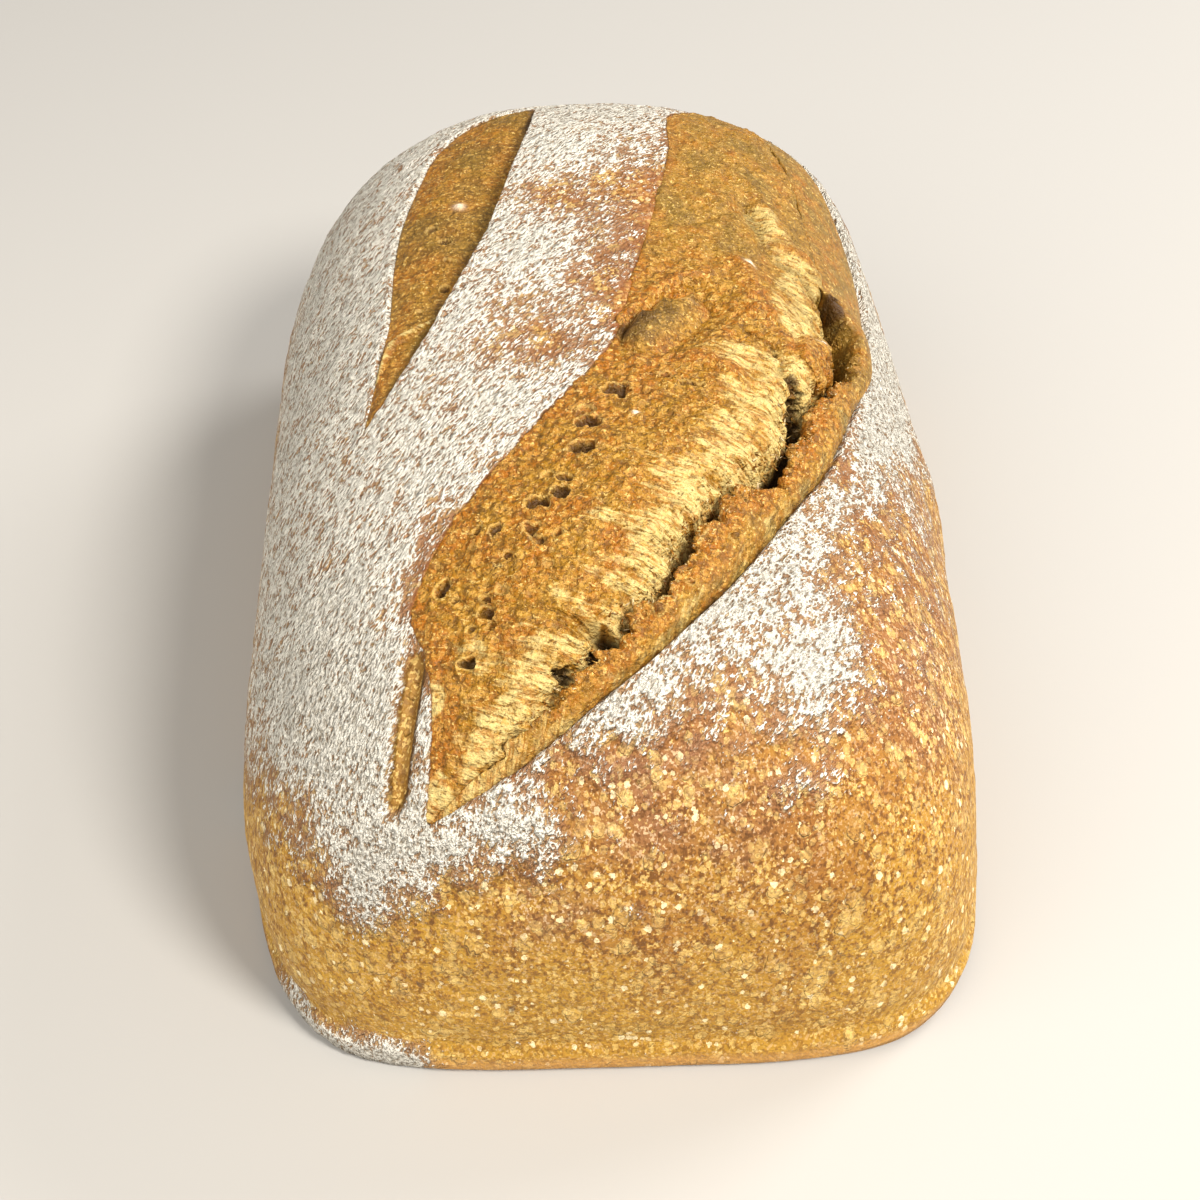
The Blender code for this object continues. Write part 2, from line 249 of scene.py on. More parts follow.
def slashAxes(slash):
    along = np.array(slash["farTip"], float) - np.array(slash["nearTip"])
    length = np.linalg.norm(along)
    along /= length
    return length, along, np.array([along[1], -along[0]])


def slashPlace(points, slash):
    _, along, across = slashAxes(slash)
    fromTip = points[:, :2] - np.array(slash["nearTip"])
    return fromTip @ along, fromTip @ across


def depthInside(points, slash):
    # how far inside a slash's outline each point lies, negative outside it
    s, c = slashPlace(points, slash)
    length = slashAxes(slash)[0]
    inside = np.minimum(c - curveThrough(slash["left"], s), curveThrough(slash["right"], s) - c)
    inside = np.minimum(inside, np.minimum(s, length - s))
    return np.where(points[:, 2] > loafShape["core"], inside, -99.0)


def nickPlace(points):
    # across the nick to the right, and how near its ends, from 0 outside to 1 inside
    along = np.array(nick["top"]) - np.array(nick["bottom"])
    length = np.linalg.norm(along)
    along /= length
    fromEnd = points[:, :2] - np.array(nick["bottom"])
    s, c = fromEnd @ along, fromEnd @ np.array([along[1], -along[0]])
    return c, smoothStep(-1, 3, s) * smoothStep(-1, 5, length - s) * (points[:, 2] > loafShape["core"])


def nickDepth(points):
    c, ends = nickPlace(points)
    return nick["depth"] * bell(c, nick["halfWidth"]) ** 2 * ends


def nickWall(points):
    # its shaded right side
    c, ends = nickPlace(points)
    return bell(c - 0.7 * nick["halfWidth"], nick["wallWidth"]) * ends


def readPoints(bm):
    return np.array([v.co for v in bm.verts])


def writePoints(bm, points):
    for vert, place in zip(bm.verts, points):
        vert.co = place


def outwardNormals(bm):
    bm.normal_update()
    return np.array([v.normal for v in bm.verts])


def placeInScene(name, held):
    holder = bpy.data.objects.new(name, held)
    bpy.context.scene.collection.objects.link(holder)
    return holder


def finishPiece(name, bm, material, values):
    # values are the per-point masks that the materials read
    bmesh.ops.scale(bm, vec=(mm, mm, mm), verts=bm.verts)
    bmesh.ops.translate(bm, vec=shiftToMiddle, verts=bm.verts)
    mesh = bpy.data.meshes.new(name)
    bm.to_mesh(mesh)
    bm.free()
    for key, value in values.items():
        layer = mesh.attributes.new(key, "FLOAT", "POINT")
        layer.data.foreach_set("value", np.ascontiguousarray(value, np.float32))
    mesh.materials.append(material)
    mesh.shade_smooth()
    piece = placeInScene(name, mesh)
    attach(piece, "root")
    print(name, len(mesh.vertices), "points")
    return piece


crustPiece = {
    "spacing": (1.06, 1.06, 1.4),  # between points across, along and upwards
    "edgeReach": (2.2, 0.8),  # squares this near a slash's outline are halved, once for each number
    "troughStep": 2.0,
    "troughDepth": 4.2,
    "troughBelowCrack": 3.5,
    "rimRise": 0.15,
    "rimWidth": 0.9,
    "unevenness": ((9, 0.25), (3.5, 0.14), (1.6, 0.08)),  # size, depth
    "flourLumps": 0.2,
}

# where flour lies thicker or thinner than its usual fall: x, y, z, reach, amount
flourPatches = (
    (29, -66, 72, 6, 0.75), (27, -74, 70, 6, 0.75), (26, -83, 63, 5, 0.3), (27, -55, 77, 5, 0.45),
    (31, -61, 73, 5, 0.3), (13, -69, 77, 9, 0.22), (20, -65, 77, 8, 0.2), (38, -40, 72, 7, 0.1),
    (2, -80, 71, 8, 0.1), (22, -72, 73, 5, 0.2), (45, -12, 66, 7, 0.95), (48, 0, 64, 7, 0.95),
    (52, -22, 60, 6, 0.35), (51, 14, 60, 8, 0.6), (42, -22, 69, 6, 0.4), (-40, -88, 48, 7, 0.75),
    (-36, -86, 53, 7, 0.35), (-31, -89, 53, 6, 0.6), (-22, -87, 60, 6, 0.8), (-16, -88, 59, 5, 0.8),
    (-13, -90, 55, 4, 0.5), (-41, -90, 42, 5, 0.7), (-27, -88, 57, 5, 0.5), (-44, -67, 65, 16, 0.25),
    (-38, -78, 60, 8, 0.2), (-17, -12, 85, 12, -0.25), (-14, 12, 86, 8, 0.2), (-4, 54, 84, 12, 0.25),
    (-48, -20, 68, 9, -0.15), (-30, -40, 80, 8, -0.1), (2, 32, 86, 9, -0.3), (-10, 30, 86, 6, -0.4),
    (0, 46, 85, 7, 0.2), (-3, 4, 86, 7, -0.3), (-12, -12, 85, 6, -0.2), (-46, -62, 66, 12, 0.3),
    (-16, -24, 84, 6, 0.2), (-26, -38, 81, 6, 0.2), (-55, -84, 2, 6, 1.3), (-49, -89, 1, 5, 1.3),
    (-42, -92, 2, 5, 1.4), (-36, -94, 3, 4, 1.4), (-65, -38, 5, 6, 1.1),
)

# small dark scorched marks: x, y, z, reach
crustMarks = (
    (-21.2, -94.6, 21.3, 0.8), (-18.4, -94.7, 19.3, 1.1), (31.3, -93.7, 25.4, 0.9), (5.4, -91.9, 49.6, 0.7),
    (34, -57.6, 71.9, 1.0), (-32.7, -93.7, 25.7, 0.5),
)

# browner patches: x, y, z, reach
duskyPatches = (
    (6, -86, 64, 15), (46, -60, 55, 15), (14, -89, 56, 10), (-14, -92, 46, 9), (58, -16, 48, 14),
    (59, -44, 44, 14),
)

# how much thinner flour lies beside the wide slash's left edge
edgeThinning = (
    (0, 0.3), (20, 0.5), (33, 0.6), (41, 0.4), (49, 0.12), (62, 0.0), (95, 0.05), (110, 0.22), (150, 0.16),
    (165, 0.0),
)

# height above which flour covers the left side: turn round the loaf from the right in degrees, height
flourFoot = (
    (90, 40), (140, 36), (180, 35), (205, 33), (222, 36), (232, 47), (240, 50), (250, 54), (262, 66),
    (290, 90),
)

flourFall = {
    "left": 0.9,
    "crown": 0.15,
    "farThinning": 0.46,  # left of the torn face's far half
    "rightEdge": 0.6,
    "rightHaze": 0.3,
    "farRight": 1.05,
    "patchiness": ((9, 0.16), (3.5, 0.3)),  # size, amount
    "most": 1.25,
}


def flourAmount(points):
    v = flourFall
    x, y, z = points.T
    s, c = slashPlace(points, wideSlash)
    fromLeft, pastRight = wide("left", s) - c, c - wide("right", s)
    turn = np.degrees(np.arctan2(y, x)) % 360
    foot = curveThrough(flourFoot, turn)
    ragged = 5 * softNoise(points, 11, 5) + 3 * softNoise(points, 4, 6)

    leftSide = np.where(s < 0, smoothStep(-20, -36, x), smoothStep(-0.5, 0.5, fromLeft))
    leftSide += (smoothStep(45, -15, x) - leftSide) * smoothStep(154, 178, s + ragged)
    dusted = smoothStep(-14, 17, z - foot + ragged) * smoothStep(300, 280, turn) * (turn > 60)
    dusted *= v["left"] * leftSide
    atEdge = smoothStep(9, 1.5, fromLeft + 0.8 * ragged) * (fromLeft > -2) * smoothStep(4, 14, s)
    dusted -= curveThrough(edgeThinning, s) * atEdge
    dusted += v["crown"] * smoothStep(25, 70, z + ragged) * leftSide
    farHalf = between(66, 86, 142, 152, s)
    dusted -= v["farThinning"] * smoothStep(28, 8, fromLeft + 2 * ragged) * leftSide * farHalf

    onRight = pastRight > -1
    atLip = smoothStep(3.6, 1.2, pastRight + 0.5 * ragged) * between(52, 78, 112, 132, s)
    nearEdge = smoothStep(9, 1, pastRight + 0.8 * ragged) * between(2, 12, 92, 104, s)
    haze = smoothStep(34, 8, pastRight + ragged) * smoothStep(4, 22, s)
    farRight = smoothStep(14, 5, pastRight + ragged) * smoothStep(88, 108, s)
    farRight *= smoothStep(176, 158, s + ragged)
    clear = 1 - 0.75 * atLip
    dusted += v["rightEdge"] * nearEdge * onRight * clear
    dusted += v["rightHaze"] * haze * onRight
    dusted += v["farRight"] * farRight * onRight * clear

    for px, py, pz, reach, amount in flourPatches:
        dusted += amount * bell(farFrom(points, px, py, pz), reach)
    patchy = layeredNoise(points, v["patchiness"], 8)
    dusted += patchy * np.where(onRight, 1.5, 1) * smoothStep(-0.1, 0.2, dusted)
    return np.clip(dusted, 0, v["most"])


def crustMesh():
    v, shape = crustPiece, loafShape
    bm = bmesh.new()
    bmesh.ops.create_cube(bm, size=1)
    bmesh.ops.scale(bm, vec=(shape["width"], shape["length"], shape["height"]), verts=bm.verts)
    bmesh.ops.translate(bm, vec=(0, 0, shape["height"] / 2), verts=bm.verts)
    for axis, side in enumerate((shape["width"], shape["length"], shape["height"])):
        run = [e for e in bm.edges if abs(e.verts[0].co[axis] - e.verts[1].co[axis]) > side / 2]
        cuts = round(side / v["spacing"][axis]) - 1
        bmesh.ops.subdivide_edges(bm, edges=run, cuts=cuts, use_grid_fill=True)
    under = [f for f in bm.faces if f.calc_center_median().z < 0.01]
    bmesh.ops.dissolve_faces(bm, faces=under)
    writePoints(bm, pushedToSkin(readPoints(bm)))
    for reach in v["edgeReach"]:
        middles = np.array([f.calc_center_median() for f in bm.faces])
        close = np.zeros(len(middles), bool)
        for slash in (wideSlash, narrowSlash):
            close |= abs(depthInside(middles, slash)) < reach
        close |= nickDepth(middles) > 0.05
        edges = {e for f, near in zip(bm.faces, close) if near for e in f.edges}
        bmesh.ops.subdivide_edges(bm, edges=list(edges), cuts=1, use_grid_fill=True)
        # all but the underside, which stays one face
        bmesh.ops.triangulate(bm, faces=[f for f in bm.faces if 4 < len(f.verts) < 99])
        writePoints(bm, pushedToSkin(readPoints(bm)))
    return bm


def buildCrust(material):
    v = crustPiece
    bm = crustMesh()
    points, normals = readPoints(bm), outwardNormals(bm)
    x, y, z = points.T
    inWide = depthInside(points, wideSlash)
    inSlash = np.maximum(inWide, depthInside(points, narrowSlash))
    outside = np.clip(-inSlash, 0, 12)
    s, c = slashPlace(points, wideSlash)

    trough = v["troughStep"] * smoothStep(0, 0.45, inSlash) + v["troughDepth"] * smoothStep(0.3, 2.6, inSlash)
    overCrack = smoothStep(5.5, 2.5, abs(c - wide("crack", s))) * smoothStep(0.6, 2.0, inWide)
    trough = np.maximum(trough, (wide("depth", s) + v["troughBelowCrack"]) * overCrack)
    flour = flourAmount(points)
    rise = swells(points) - trough - nickDepth(points)
    rim = bell(outside - 0.5, v["rimWidth"]) * (inSlash < 0.2) * (outside < 6)
    rise += v["rimRise"] * rim * (0.6 + softNoise(points, 2.2, 16))
    rise += layeredNoise(points, v["unevenness"], 7) * smoothStep(0, 4, z)
    rise += v["flourLumps"] * flour * softNoise(points, 1.3, 15)
    writePoints(bm, points + normals * rise[:, None])

    browned = smoothStep(35, 66, z + 8 * softNoise(points, 18, 22))
    toast = 0.25 + 0.55 * browned + 0.4 * softNoise(points, 14, 21)
    toast *= 0.35 + 0.65 * smoothStep(-50, 20, x + 0.4 * z)
    edgeSide = smoothStep(4.0, 0.3, outside + 2.5 * softNoise(points, 3, 17))
    edgeSide *= (1 - 0.45 * smoothStep(85, 105, s)) * (wide("left", s) > c - 2) * (s > 6) * (s < 150)
    # the nick's right wall gets painted shade in the scorched marks' colour
    scorchAndShade, ragged = 0.85 * nickWall(points), 0.7 * softNoise(points, 0.9, 23)
    for px, py, pz, reach in crustMarks:
        scorchAndShade = np.maximum(scorchAndShade, bell(np.maximum(farFrom(points, px, py, pz) + ragged, 0), reach))
    dusky = np.max([bell(farFrom(points, px, py, pz), reach) for px, py, pz, reach in duskyPatches], axis=0)
    return finishPiece("crust", bm, material, {
        "flour": flour, "outside": outside, "toast": limited(toast), "edgeSide": edgeSide, "scorchAndShade": scorchAndShade,
        "dusky": limited(dusky * (1 + softNoise(points, 5, 24))),
        "cut": limited(nickDepth(points) / nick["depth"] * 2.2),
    })


def sweptTube(rows, around):
    bm = bmesh.new()
    bmesh.ops.create_cone(bm, cap_ends=True, segments=around, radius1=1, radius2=1, depth=1)
    runs = [e for e in bm.edges if abs(e.verts[0].co.z - e.verts[1].co.z) > 0.5]
    bmesh.ops.subdivide_edges(bm, edges=runs, cuts=rows - 2, use_grid_fill=True)
    return bm


def sectionPoints(knots, weights, count, softness):
    # count points round a closed section for each row, close together where the weight is high
    c = np.stack([k[0] for k in knots] + [knots[0][0]], 1)
    h = np.stack([k[1] for k in knots] + [knots[0][1]], 1)
    run = (np.hypot(np.diff(c, axis=1), np.diff(h, axis=1)) + 1e-6) * np.array(weights)
    reached = np.concatenate([np.zeros((len(c), 1)), np.cumsum(run, 1)], 1)
    outC, outH = np.empty((len(c), count)), np.empty((len(c), count))
    row = np.arange(len(c))
    for j in range(count):
        target = (j / count) * reached[:, -1]
        i = np.clip((reached <= target[:, None]).sum(1) - 1, 0, run.shape[1] - 1)
        u = (target - reached[row, i]) / run[row, i]
        outC[:, j] = c[row, i] * (1 - u) + c[row, i + 1] * u
        outH[:, j] = h[row, i] * (1 - u) + h[row, i + 1] * u
    for _ in range(softness):
        outC = (np.roll(outC, 1, 1) + 2 * outC + np.roll(outC, -1, 1)) / 4
        outH = (np.roll(outH, 1, 1) + 2 * outH + np.roll(outH, -1, 1)) / 4
    return outC, outH


tipGap = 0.4  # how far the tubes' ends stay from a slash's tips


def sweptPiece(slash, rows, around, sectionOf, softness):
    # a closed tube along the slash, with each point's distance along and across and its rise over the skin;
    # sectionOf gives the section's knots (across, rise) and a weight for the stretch after each
    bm = sweptTube(rows, around)
    points = readPoints(bm)
    column = np.round(np.arctan2(points[:, 1], points[:, 0]) / (2 * math.pi) * around).astype(int) % around
    row = np.round((points[:, 2] + 0.5) * (rows - 1)).astype(int)
    length, along, across = slashAxes(slash)
    s = np.linspace(tipGap, length - tipGap, rows)
    knots, weights = sectionOf(s)
    sectionC, sectionH = sectionPoints(knots, weights, around, softness)
    s, c, h = s[row], sectionC[row, column], sectionH[row, column]
    place = np.array(slash["nearTip"]) + s[:, None] * along + c[:, None] * across
    skin, normal = skinAt(*place.T)
    writePoints(bm, skin + normal * (h + swells(skin))[:, None])
    bmesh.ops.recalc_face_normals(bm, faces=bm.faces)
    return bm, s, c, h, readPoints(bm), outwardNormals(bm)


def fromLine(s, c, line):
    # distance to a line drawn in places along and across the slash
    nearest = np.full(len(s), 1e3)
    for (s0, c0), (s1, c1) in zip(line[:-1], line[1:]):
        run = (s1 - s0) ** 2 + (c1 - c0) ** 2
        u = limited(((s - s0) * (s1 - s0) + (c - c0) * (c1 - c0)) / run)
        nearest = np.minimum(nearest, np.hypot(s - s0 - u * (s1 - s0), c - c0 - u * (c1 - c0)))
    return nearest


def pressHoles(points, s, c, holes, seed):
    # how far each point sinks in the holes, and how deep inside one it is from 0 to 1, which sets its painted
    # shade, more in deeper holes
    sunk, inside = np.zeros(len(points)), np.zeros(len(points))
    for along, across, halfLength, halfWidth, depth in holes:
        reach = np.hypot((s - along) / halfLength, (c - across) / halfWidth) / 1.1
        near = reach < 2.2
        reach = reach[near] + layeredNoise(points[near], ((1.2, 0.5), (0.5, 0.2)), seed)
        sunk[near] += 1.5 * depth * smoothStep(1.1, 0.65, reach) - 0.12 * bell(reach - 1.22, 0.2)
        inside[near] = np.maximum(inside[near], smoothStep(1.5, 0.6, reach) * limited(0.25 + 0.6 * depth))
    return sunk, inside


bloomPiece = {
    "rows": 520,
    "around": 188,  # a multiple of four
    "tuck": 0.5,  # how far it goes under the crust's edge
    "edgeDrop": 0.1,
    "unevenness": ((15, 0.7), (6, 0.5), (2.5, 0.4), (1.1, 0.26)),
    "pebbleSize": 1.6,
    "pebbleHeight": 0.32,
    "fibreHeight": 0.22,
    "thinTearEnd": 26,  # the crack is a thin ragged tear up to here
    "holes": (  # along, across, half length, half width, depth
        (54.6, 6.6, 1.3, 1.9, 1.9), (60.9, 5.6, 1.2, 1.9, 1.5), (44.9, 6.2, 1.0, 1.4, 1.2),
        (42.9, 3.2, 1.1, 1.7, 1.2), (47.9, 5.7, 0.9, 1.2, 0.9), (48.6, 3.1, 0.8, 1.0, 0.5),
        (37.4, -1.6, 0.9, 0.8, 0.9), (37.5, -4.5, 0.6, 0.7, 0.8), (69.5, 7.4, 1.4, 1.9, 1.0),
        (64.2, 4.2, 0.8, 1.2, 0.4), (38.0, 3.9, 1.1, 1.3, 0.7), (37.6, 8.3, 0.7, 0.8, 0.6),
        (36.0, 5.6, 0.7, 1.0, 0.7), (33.3, 1.8, 0.6, 0.7, 0.7), (27.8, -6.9, 1.3, 1.0, 0.9),
        (73.4, 18.4, 0.55, 1.6, 1.1), (74.6, 14.2, 0.6, 1.0, 0.8), (54.9, 12.4, 0.5, 0.6, 0.6),
        (53.9, 24.1, 0.7, 0.9, 0.6), (32.6, 8.4, 0.6, 1.1, 0.4), (26.5, 0.4, 0.6, 0.8, 0.6),
        (27.9, 2.7, 0.6, 1.0, 0.4), (17.3, 1.1, 0.9, 1.1, 1.4), (24.4, 1.5, 0.9, 1.1, 0.8),
        (22.0, -0.1, 0.6, 0.7, 0.6), (22.6, 2.9, 0.6, 0.8, 0.5), (18.2, 4.8, 0.7, 0.9, 0.4),
        (25.9, -4.0, 0.6, 0.7, 0.6), (18.7, 14.9, 0.9, 1.3, 1.6), (22.3, 18.6, 0.8, 1.3, 1.4),
        (81.6, 34.2, 1.9, 1.9, 2.6), (84.2, 31.6, 1.0, 1.2, 1.2), (89.0, 27.5, 0.9, 1.0, 0.7),
    ),
    "creases": (  # half width, depth, line
        (2.0, 1.5, ((131.4, 12.8), (126, 15.7), (120.6, 18.9), (118.5, 22), (117.6, 26.6), (114.6, 29.9))),
        (2.6, 0.7, ((114.6, 21.2), (108.3, 25.4), (103.4, 30.2))),
        (0.9, 1.5, ((91.5, 22.4), (90.2, 26.4), (87.2, 28.9), (83.0, 30.9), (82.0, 33.0))),
        (1.0, 0.6, ((118.6, 6.4), (122.6, 9.4), (129.3, 13.0))),
        (1.3, 0.5, ((140.9, 18.1), (138.8, 22.5))),
        (0.5, 0.35, ((66, 12), (64, 17), (60, 21))),
    ),
    "ridges": (  # half width, rise, line
        (1.9, 1.0, ((110.5, 16.6), (109.1, 17.6), (103.1, 20.8), (96.6, 24.0))),
        (2.4, 1.0, ((77.3, 9.1), (78.9, 12.8), (79.9, 16.8), (80.3, 20.3), (78.2, 23.1))),
        (1.2, 0.8, ((84.0, 1.8), (90.0, 3.8), (96.0, 6.2), (101.5, 8.6), (104.5, 13.0))),
        (1.3, 0.7, ((134.0, 14.5), (128.0, 18.5), (123.5, 22.5), (121.5, 28.0))),
    ),
    "hollow": {"from": (83.0, 1.6), "to": (102.5, 10.4), "reach": 15.0, "depth": 4.4},  # its upper rim
    "block": {"along": 93.0, "across": 33.6, "halfLength": 5.0, "halfWidth": 4.0, "rise": 1.3},
    "valley": ((128, 16.5), (121, 20), (118, 24.5), (112, 27.5), (104, 27), (98, 29)),  # torn and pale
    "paleWidth": ((0, 5), (20, 10), (40, 12), (60, 15.5), (80, 16), (95, 7), (115, 6), (168, 3)),
    "flecks": (  # along, across, reach
        (111.3, 18.3, 0.7), (97.8, 32.4, 0.5), (100.4, 33.6, 0.4), (96.2, 12.6, 0.4), (64.6, 12.0, 0.4),
    ),
}


def crackAt(s):
    # the crack's line, which wanders where it is a thin tear
    wander = 1.4 * lineNoise(s, 3.0, 45) + 1.0 * lineNoise(s, 1.0, 46)
    return wide("crack", s) + wander * between(3, 9, 24, 34, s)


def bloomSection(s):
    v = bloomPiece
    left, crack, rise = wide("left", s), crackAt(s), wide("bloom", s)
    thin = s < v["thinTearEnd"]
    opening = wide("opening", s) * (1 + 1.3 * lineNoise(s, 1.5, 47)) * np.where(thin, 1.7, 1)
    depth = wide("depth", s) * np.where(thin, np.clip(1.1 + 2.4 * lineNoise(s, 2.2, 48), 0.3, 2.2), 1)
    face = np.maximum(crack - left, 0.2)
    ends, torn = between(*wideSlash["fades"], s), tornShare(depth)
    drop = v["edgeDrop"] * ends
    slope = np.minimum(3.4, 0.25 * face) * torn
    knots = (
        (left - v["tuck"], -1.9 * ends - 0.3),
        (left - 0.05, -0.05 * np.ones_like(s)),
        (left + 0.06 * face, 0.1 * rise - drop),
        (left + 0.35 * face, 0.5 * rise),
        (left + 0.62 * face, rise),
        (crack - 1.3 * opening - 1.2 * slope, 0.9 * rise),
        (crack - 1.2 * opening - 0.35 * slope, (0.9 - 0.5 * torn) * rise - 0.12 * depth),
        (crack - 0.7 * opening, (0.8 - 0.8 * torn) * rise - 0.6 * depth),
        (crack + 0.2 * opening, 0.78 * (1 - torn) * rise - depth),
        (crack + 1.8 * opening + 0.3, -depth - 0.6),
        (crack + 1.2 * opening, -depth - 2.2),
        (left + 0.5 * face, -3.4 * np.ones_like(s)),
    )
    weights = (1, 1, 1, 1, 1, 1.1, 1.1, 1.0, 0.7, 0.15, 0.08, 0.08)
    return knots, weights


def hollowShape(s, c, wander):
    # how far each point sinks in the hollow, how much it has of its olive colour, which is partly painted
    # shade, and how shaded it is
    v = bloomPiece["hollow"]
    start, run = np.array(v["from"]), np.array(v["to"]) - np.array(v["from"])
    length = np.linalg.norm(run)
    run = run / length
    along = (s - start[0]) * run[0] + (c - start[1]) * run[1] + 0.4 * wander
    below = -(s - start[0]) * run[1] + (c - start[1]) * run[0] + 0.25 * wander
    ends = between(-1.0, 3.0, length - 5, length + 3, along)
    sunk = smoothStep(-0.3, 1.9, below) * smoothStep(v["reach"], 2.5, below) * ends
    tinted = smoothStep(0.1, 0.8, sunk) * smoothStep(13, 3, below) * smoothStep(23, 7, along)
    shaded = smoothStep(0.1, 0.8, below) * smoothStep(7, 1, below) * smoothStep(18, 4, along) * ends
    return v["depth"] * sunk, tinted, shaded


def paleShare(patchy, s, c, h):
    # how much of the torn face is pale, and how much of that lies in the valley near the far end
    v = bloomPiece
    streaks = softNoise(np.stack([s / 2.4, c / 11, h / 9], 1), 1, 34)
    reach = (wide("crack", s) - c + 6 * patchy + 9 * streaks) / curveThrough(v["paleWidth"], s)
    pale = smoothStep(1.25, 0.05, reach) * smoothStep(130, 116, s)
    pale *= np.maximum(tornShare(wide("depth", s)), 0.7)
    pale = np.maximum(pale, 0.8 * smoothStep(30, 10, s) * smoothStep(-0.3, 0.2, patchy))
    valley = bell(fromLine(s, c, v["valley"]) + 4 * patchy, 3.0)
    return np.maximum(pale, 0.8 * valley), valley


def buildBloom(material):
    v = bloomPiece
    bm, s, c, h, points, normals = sweptPiece(wideSlash, v["rows"], v["around"], bloomSection, 3)
    fromLeft, fromCrack = c - wide("left", s), wide("crack", s) - c
    torn = tornShare(wide("depth", s))
    far = smoothStep(98, 116, s)
    patchy = softNoise(points, 5, 31)
    pale, valley = paleShare(patchy, s, c, h)
    toast = 0.26 + 0.6 * softNoise(points, 6, 32) + 0.3 * softNoise(points, 2.4, 33)
    toast *= (1 - 0.75 * pale) * (1 - 0.4 * far)
    olive = far * (0.4 + 1.2 * softNoise(points, 6, 35)) * (1 - valley)
    # olive here is painted shade along the crack's edge
    olive += 0.6 * smoothStep(2.4, 0.6, fromCrack) * torn

    rise = layeredNoise(points, v["unevenness"], 40) * (1 - 0.2 * far)
    pebbles = 1 - 2 * cellNoise(points, v["pebbleSize"], 50)
    rise += v["pebbleHeight"] * pebbles * (1 - 0.7 * pale) * (1 - 0.6 * far)
    fibres = softNoise(np.stack([s / 0.6, c / 4.2, h / 2], 1), 1, 52)
    rise += v["fibreHeight"] * fibres * (0.3 + pale)
    wander = 0.7 * softNoise(points, 2.0, 55)
    for halfWidth, depth, line in v["creases"]:
        shape = bell(fromLine(s + wander, c + wander, line), halfWidth)
        rise -= depth * shape
        # creases are darkened with olive as painted shade, more in deeper ones
        olive = np.maximum(olive, 0.8 * shape * min(1, depth))
    for halfWidth, height, line in v["ridges"]:
        shape = bell(fromLine(s + wander, c + wander, line), halfWidth)
        rise += height * shape
        toast = np.maximum(toast, 0.85 * shape + 0.6 * patchy)
    sunk, inHollow, shadow = hollowShape(s, c, wander)
    rise -= sunk
    # the hollow's olive tint near its upper rim is partly painted shade
    olive = np.maximum(olive, inHollow)
    b = v["block"]
    reach = np.hypot((s - b["along"]) / b["halfLength"], (c - b["across"]) / b["halfWidth"])
    onBlock = smoothStep(1.15, 0.75, reach + 0.3 * patchy)
    rise += b["rise"] * onBlock
    pale, toast = pale * (1 - 0.75 * onBlock), np.maximum(toast, 0.5 * onBlock + 0.4 * patchy)
    sinks, hole = pressHoles(points, s, c, v["holes"], 53)
    rise -= sinks
    toast = np.maximum(toast, smoothStep(3.6, 0.3, fromLeft + 4 * patchy) * (0.85 - 0.3 * far))
    fleck = sum(bell(np.hypot(s - along, c - across), reach) for along, across, reach in v["flecks"])
    rise += smoothStep(1.8, 0.3, fromLeft) * np.maximum(-rise, 0)
    shown = smoothStep(-0.8, 0.1, fromLeft) * smoothStep(-1.5, 0.5, fromCrack) * smoothStep(-6, -2, h)
    writePoints(bm, points + normals * (rise * shown)[:, None])

    opening = wide("opening", s)
    onRim = (fromCrack > 0.6 * opening) & (fromCrack < 2.2 * opening + 0.5)
    keepRim("bloom", bm, onRim & (h > -3) & (torn > 0.5) & (s < 104))
    return finishPiece("bloom", bm, material, {
        "toast": limited(toast), "pale": limited(pale), "olive": limited(olive), "hole": limited(hole),
        # gloom is painted shade deep down in the crack and under the hollow's upper rim
        "gloom": np.maximum(smoothStep(-2.5, -5.5, h), shadow), "fleck": limited(1.6 * fleck),
        "calm": np.maximum(0.6 * far * (1 - 0.6 * valley), 0.3 * inHollow), "along": s, "across": c,
    })


lipPiece = {
    "rows": 600,
    "around": 120,
    "tuck": 0.3,
    "tear": ((4.5, 1.1), (1.9, 1.4), (0.9, 1.2)),  # size and reach of the torn rim's teeth
    "unevenness": ((5, 0.4), (1.9, 0.5), (0.9, 0.34)),
    "deepHole": ((115.5, 31.2), (109, 34.0), (104.5, 36.4)),
    "flap": ((124, 28.0), (120.5, 29.8), (117.3, 32.6), (113.5, 35.5)),
    "peaks": (  # along, reach, length
        (55.5, 1.8, 2.6), (46, 1.0, 1.8), (30, 0.8, 2.5), (113.5, 2.4, 2.2), (118, 1.4, 2.4),
    ),
    "pebbleSize": 1.5,
    "pebbleHeight": 0.16,
    "holes": (  # along, across, half length, half width, depth
        (46.1, 32.0, 0.6, 0.6, 0.7), (30.6, 25.3, 0.8, 0.9, 0.6), (60, 38.5, 0.5, 0.6, 0.5),
        (36, 28.5, 0.5, 0.8, 0.5),
    ),
}


def lipTear(s):
    v = lipPiece
    tear = sum(depth * lineNoise(s, size, 60 + number) for number, (size, depth) in enumerate(v["tear"]))
    for along, reach, length in v["peaks"]:
        tear -= reach * bell(s - along, length)
    return tear * between(6, 18, 118, 126, s)


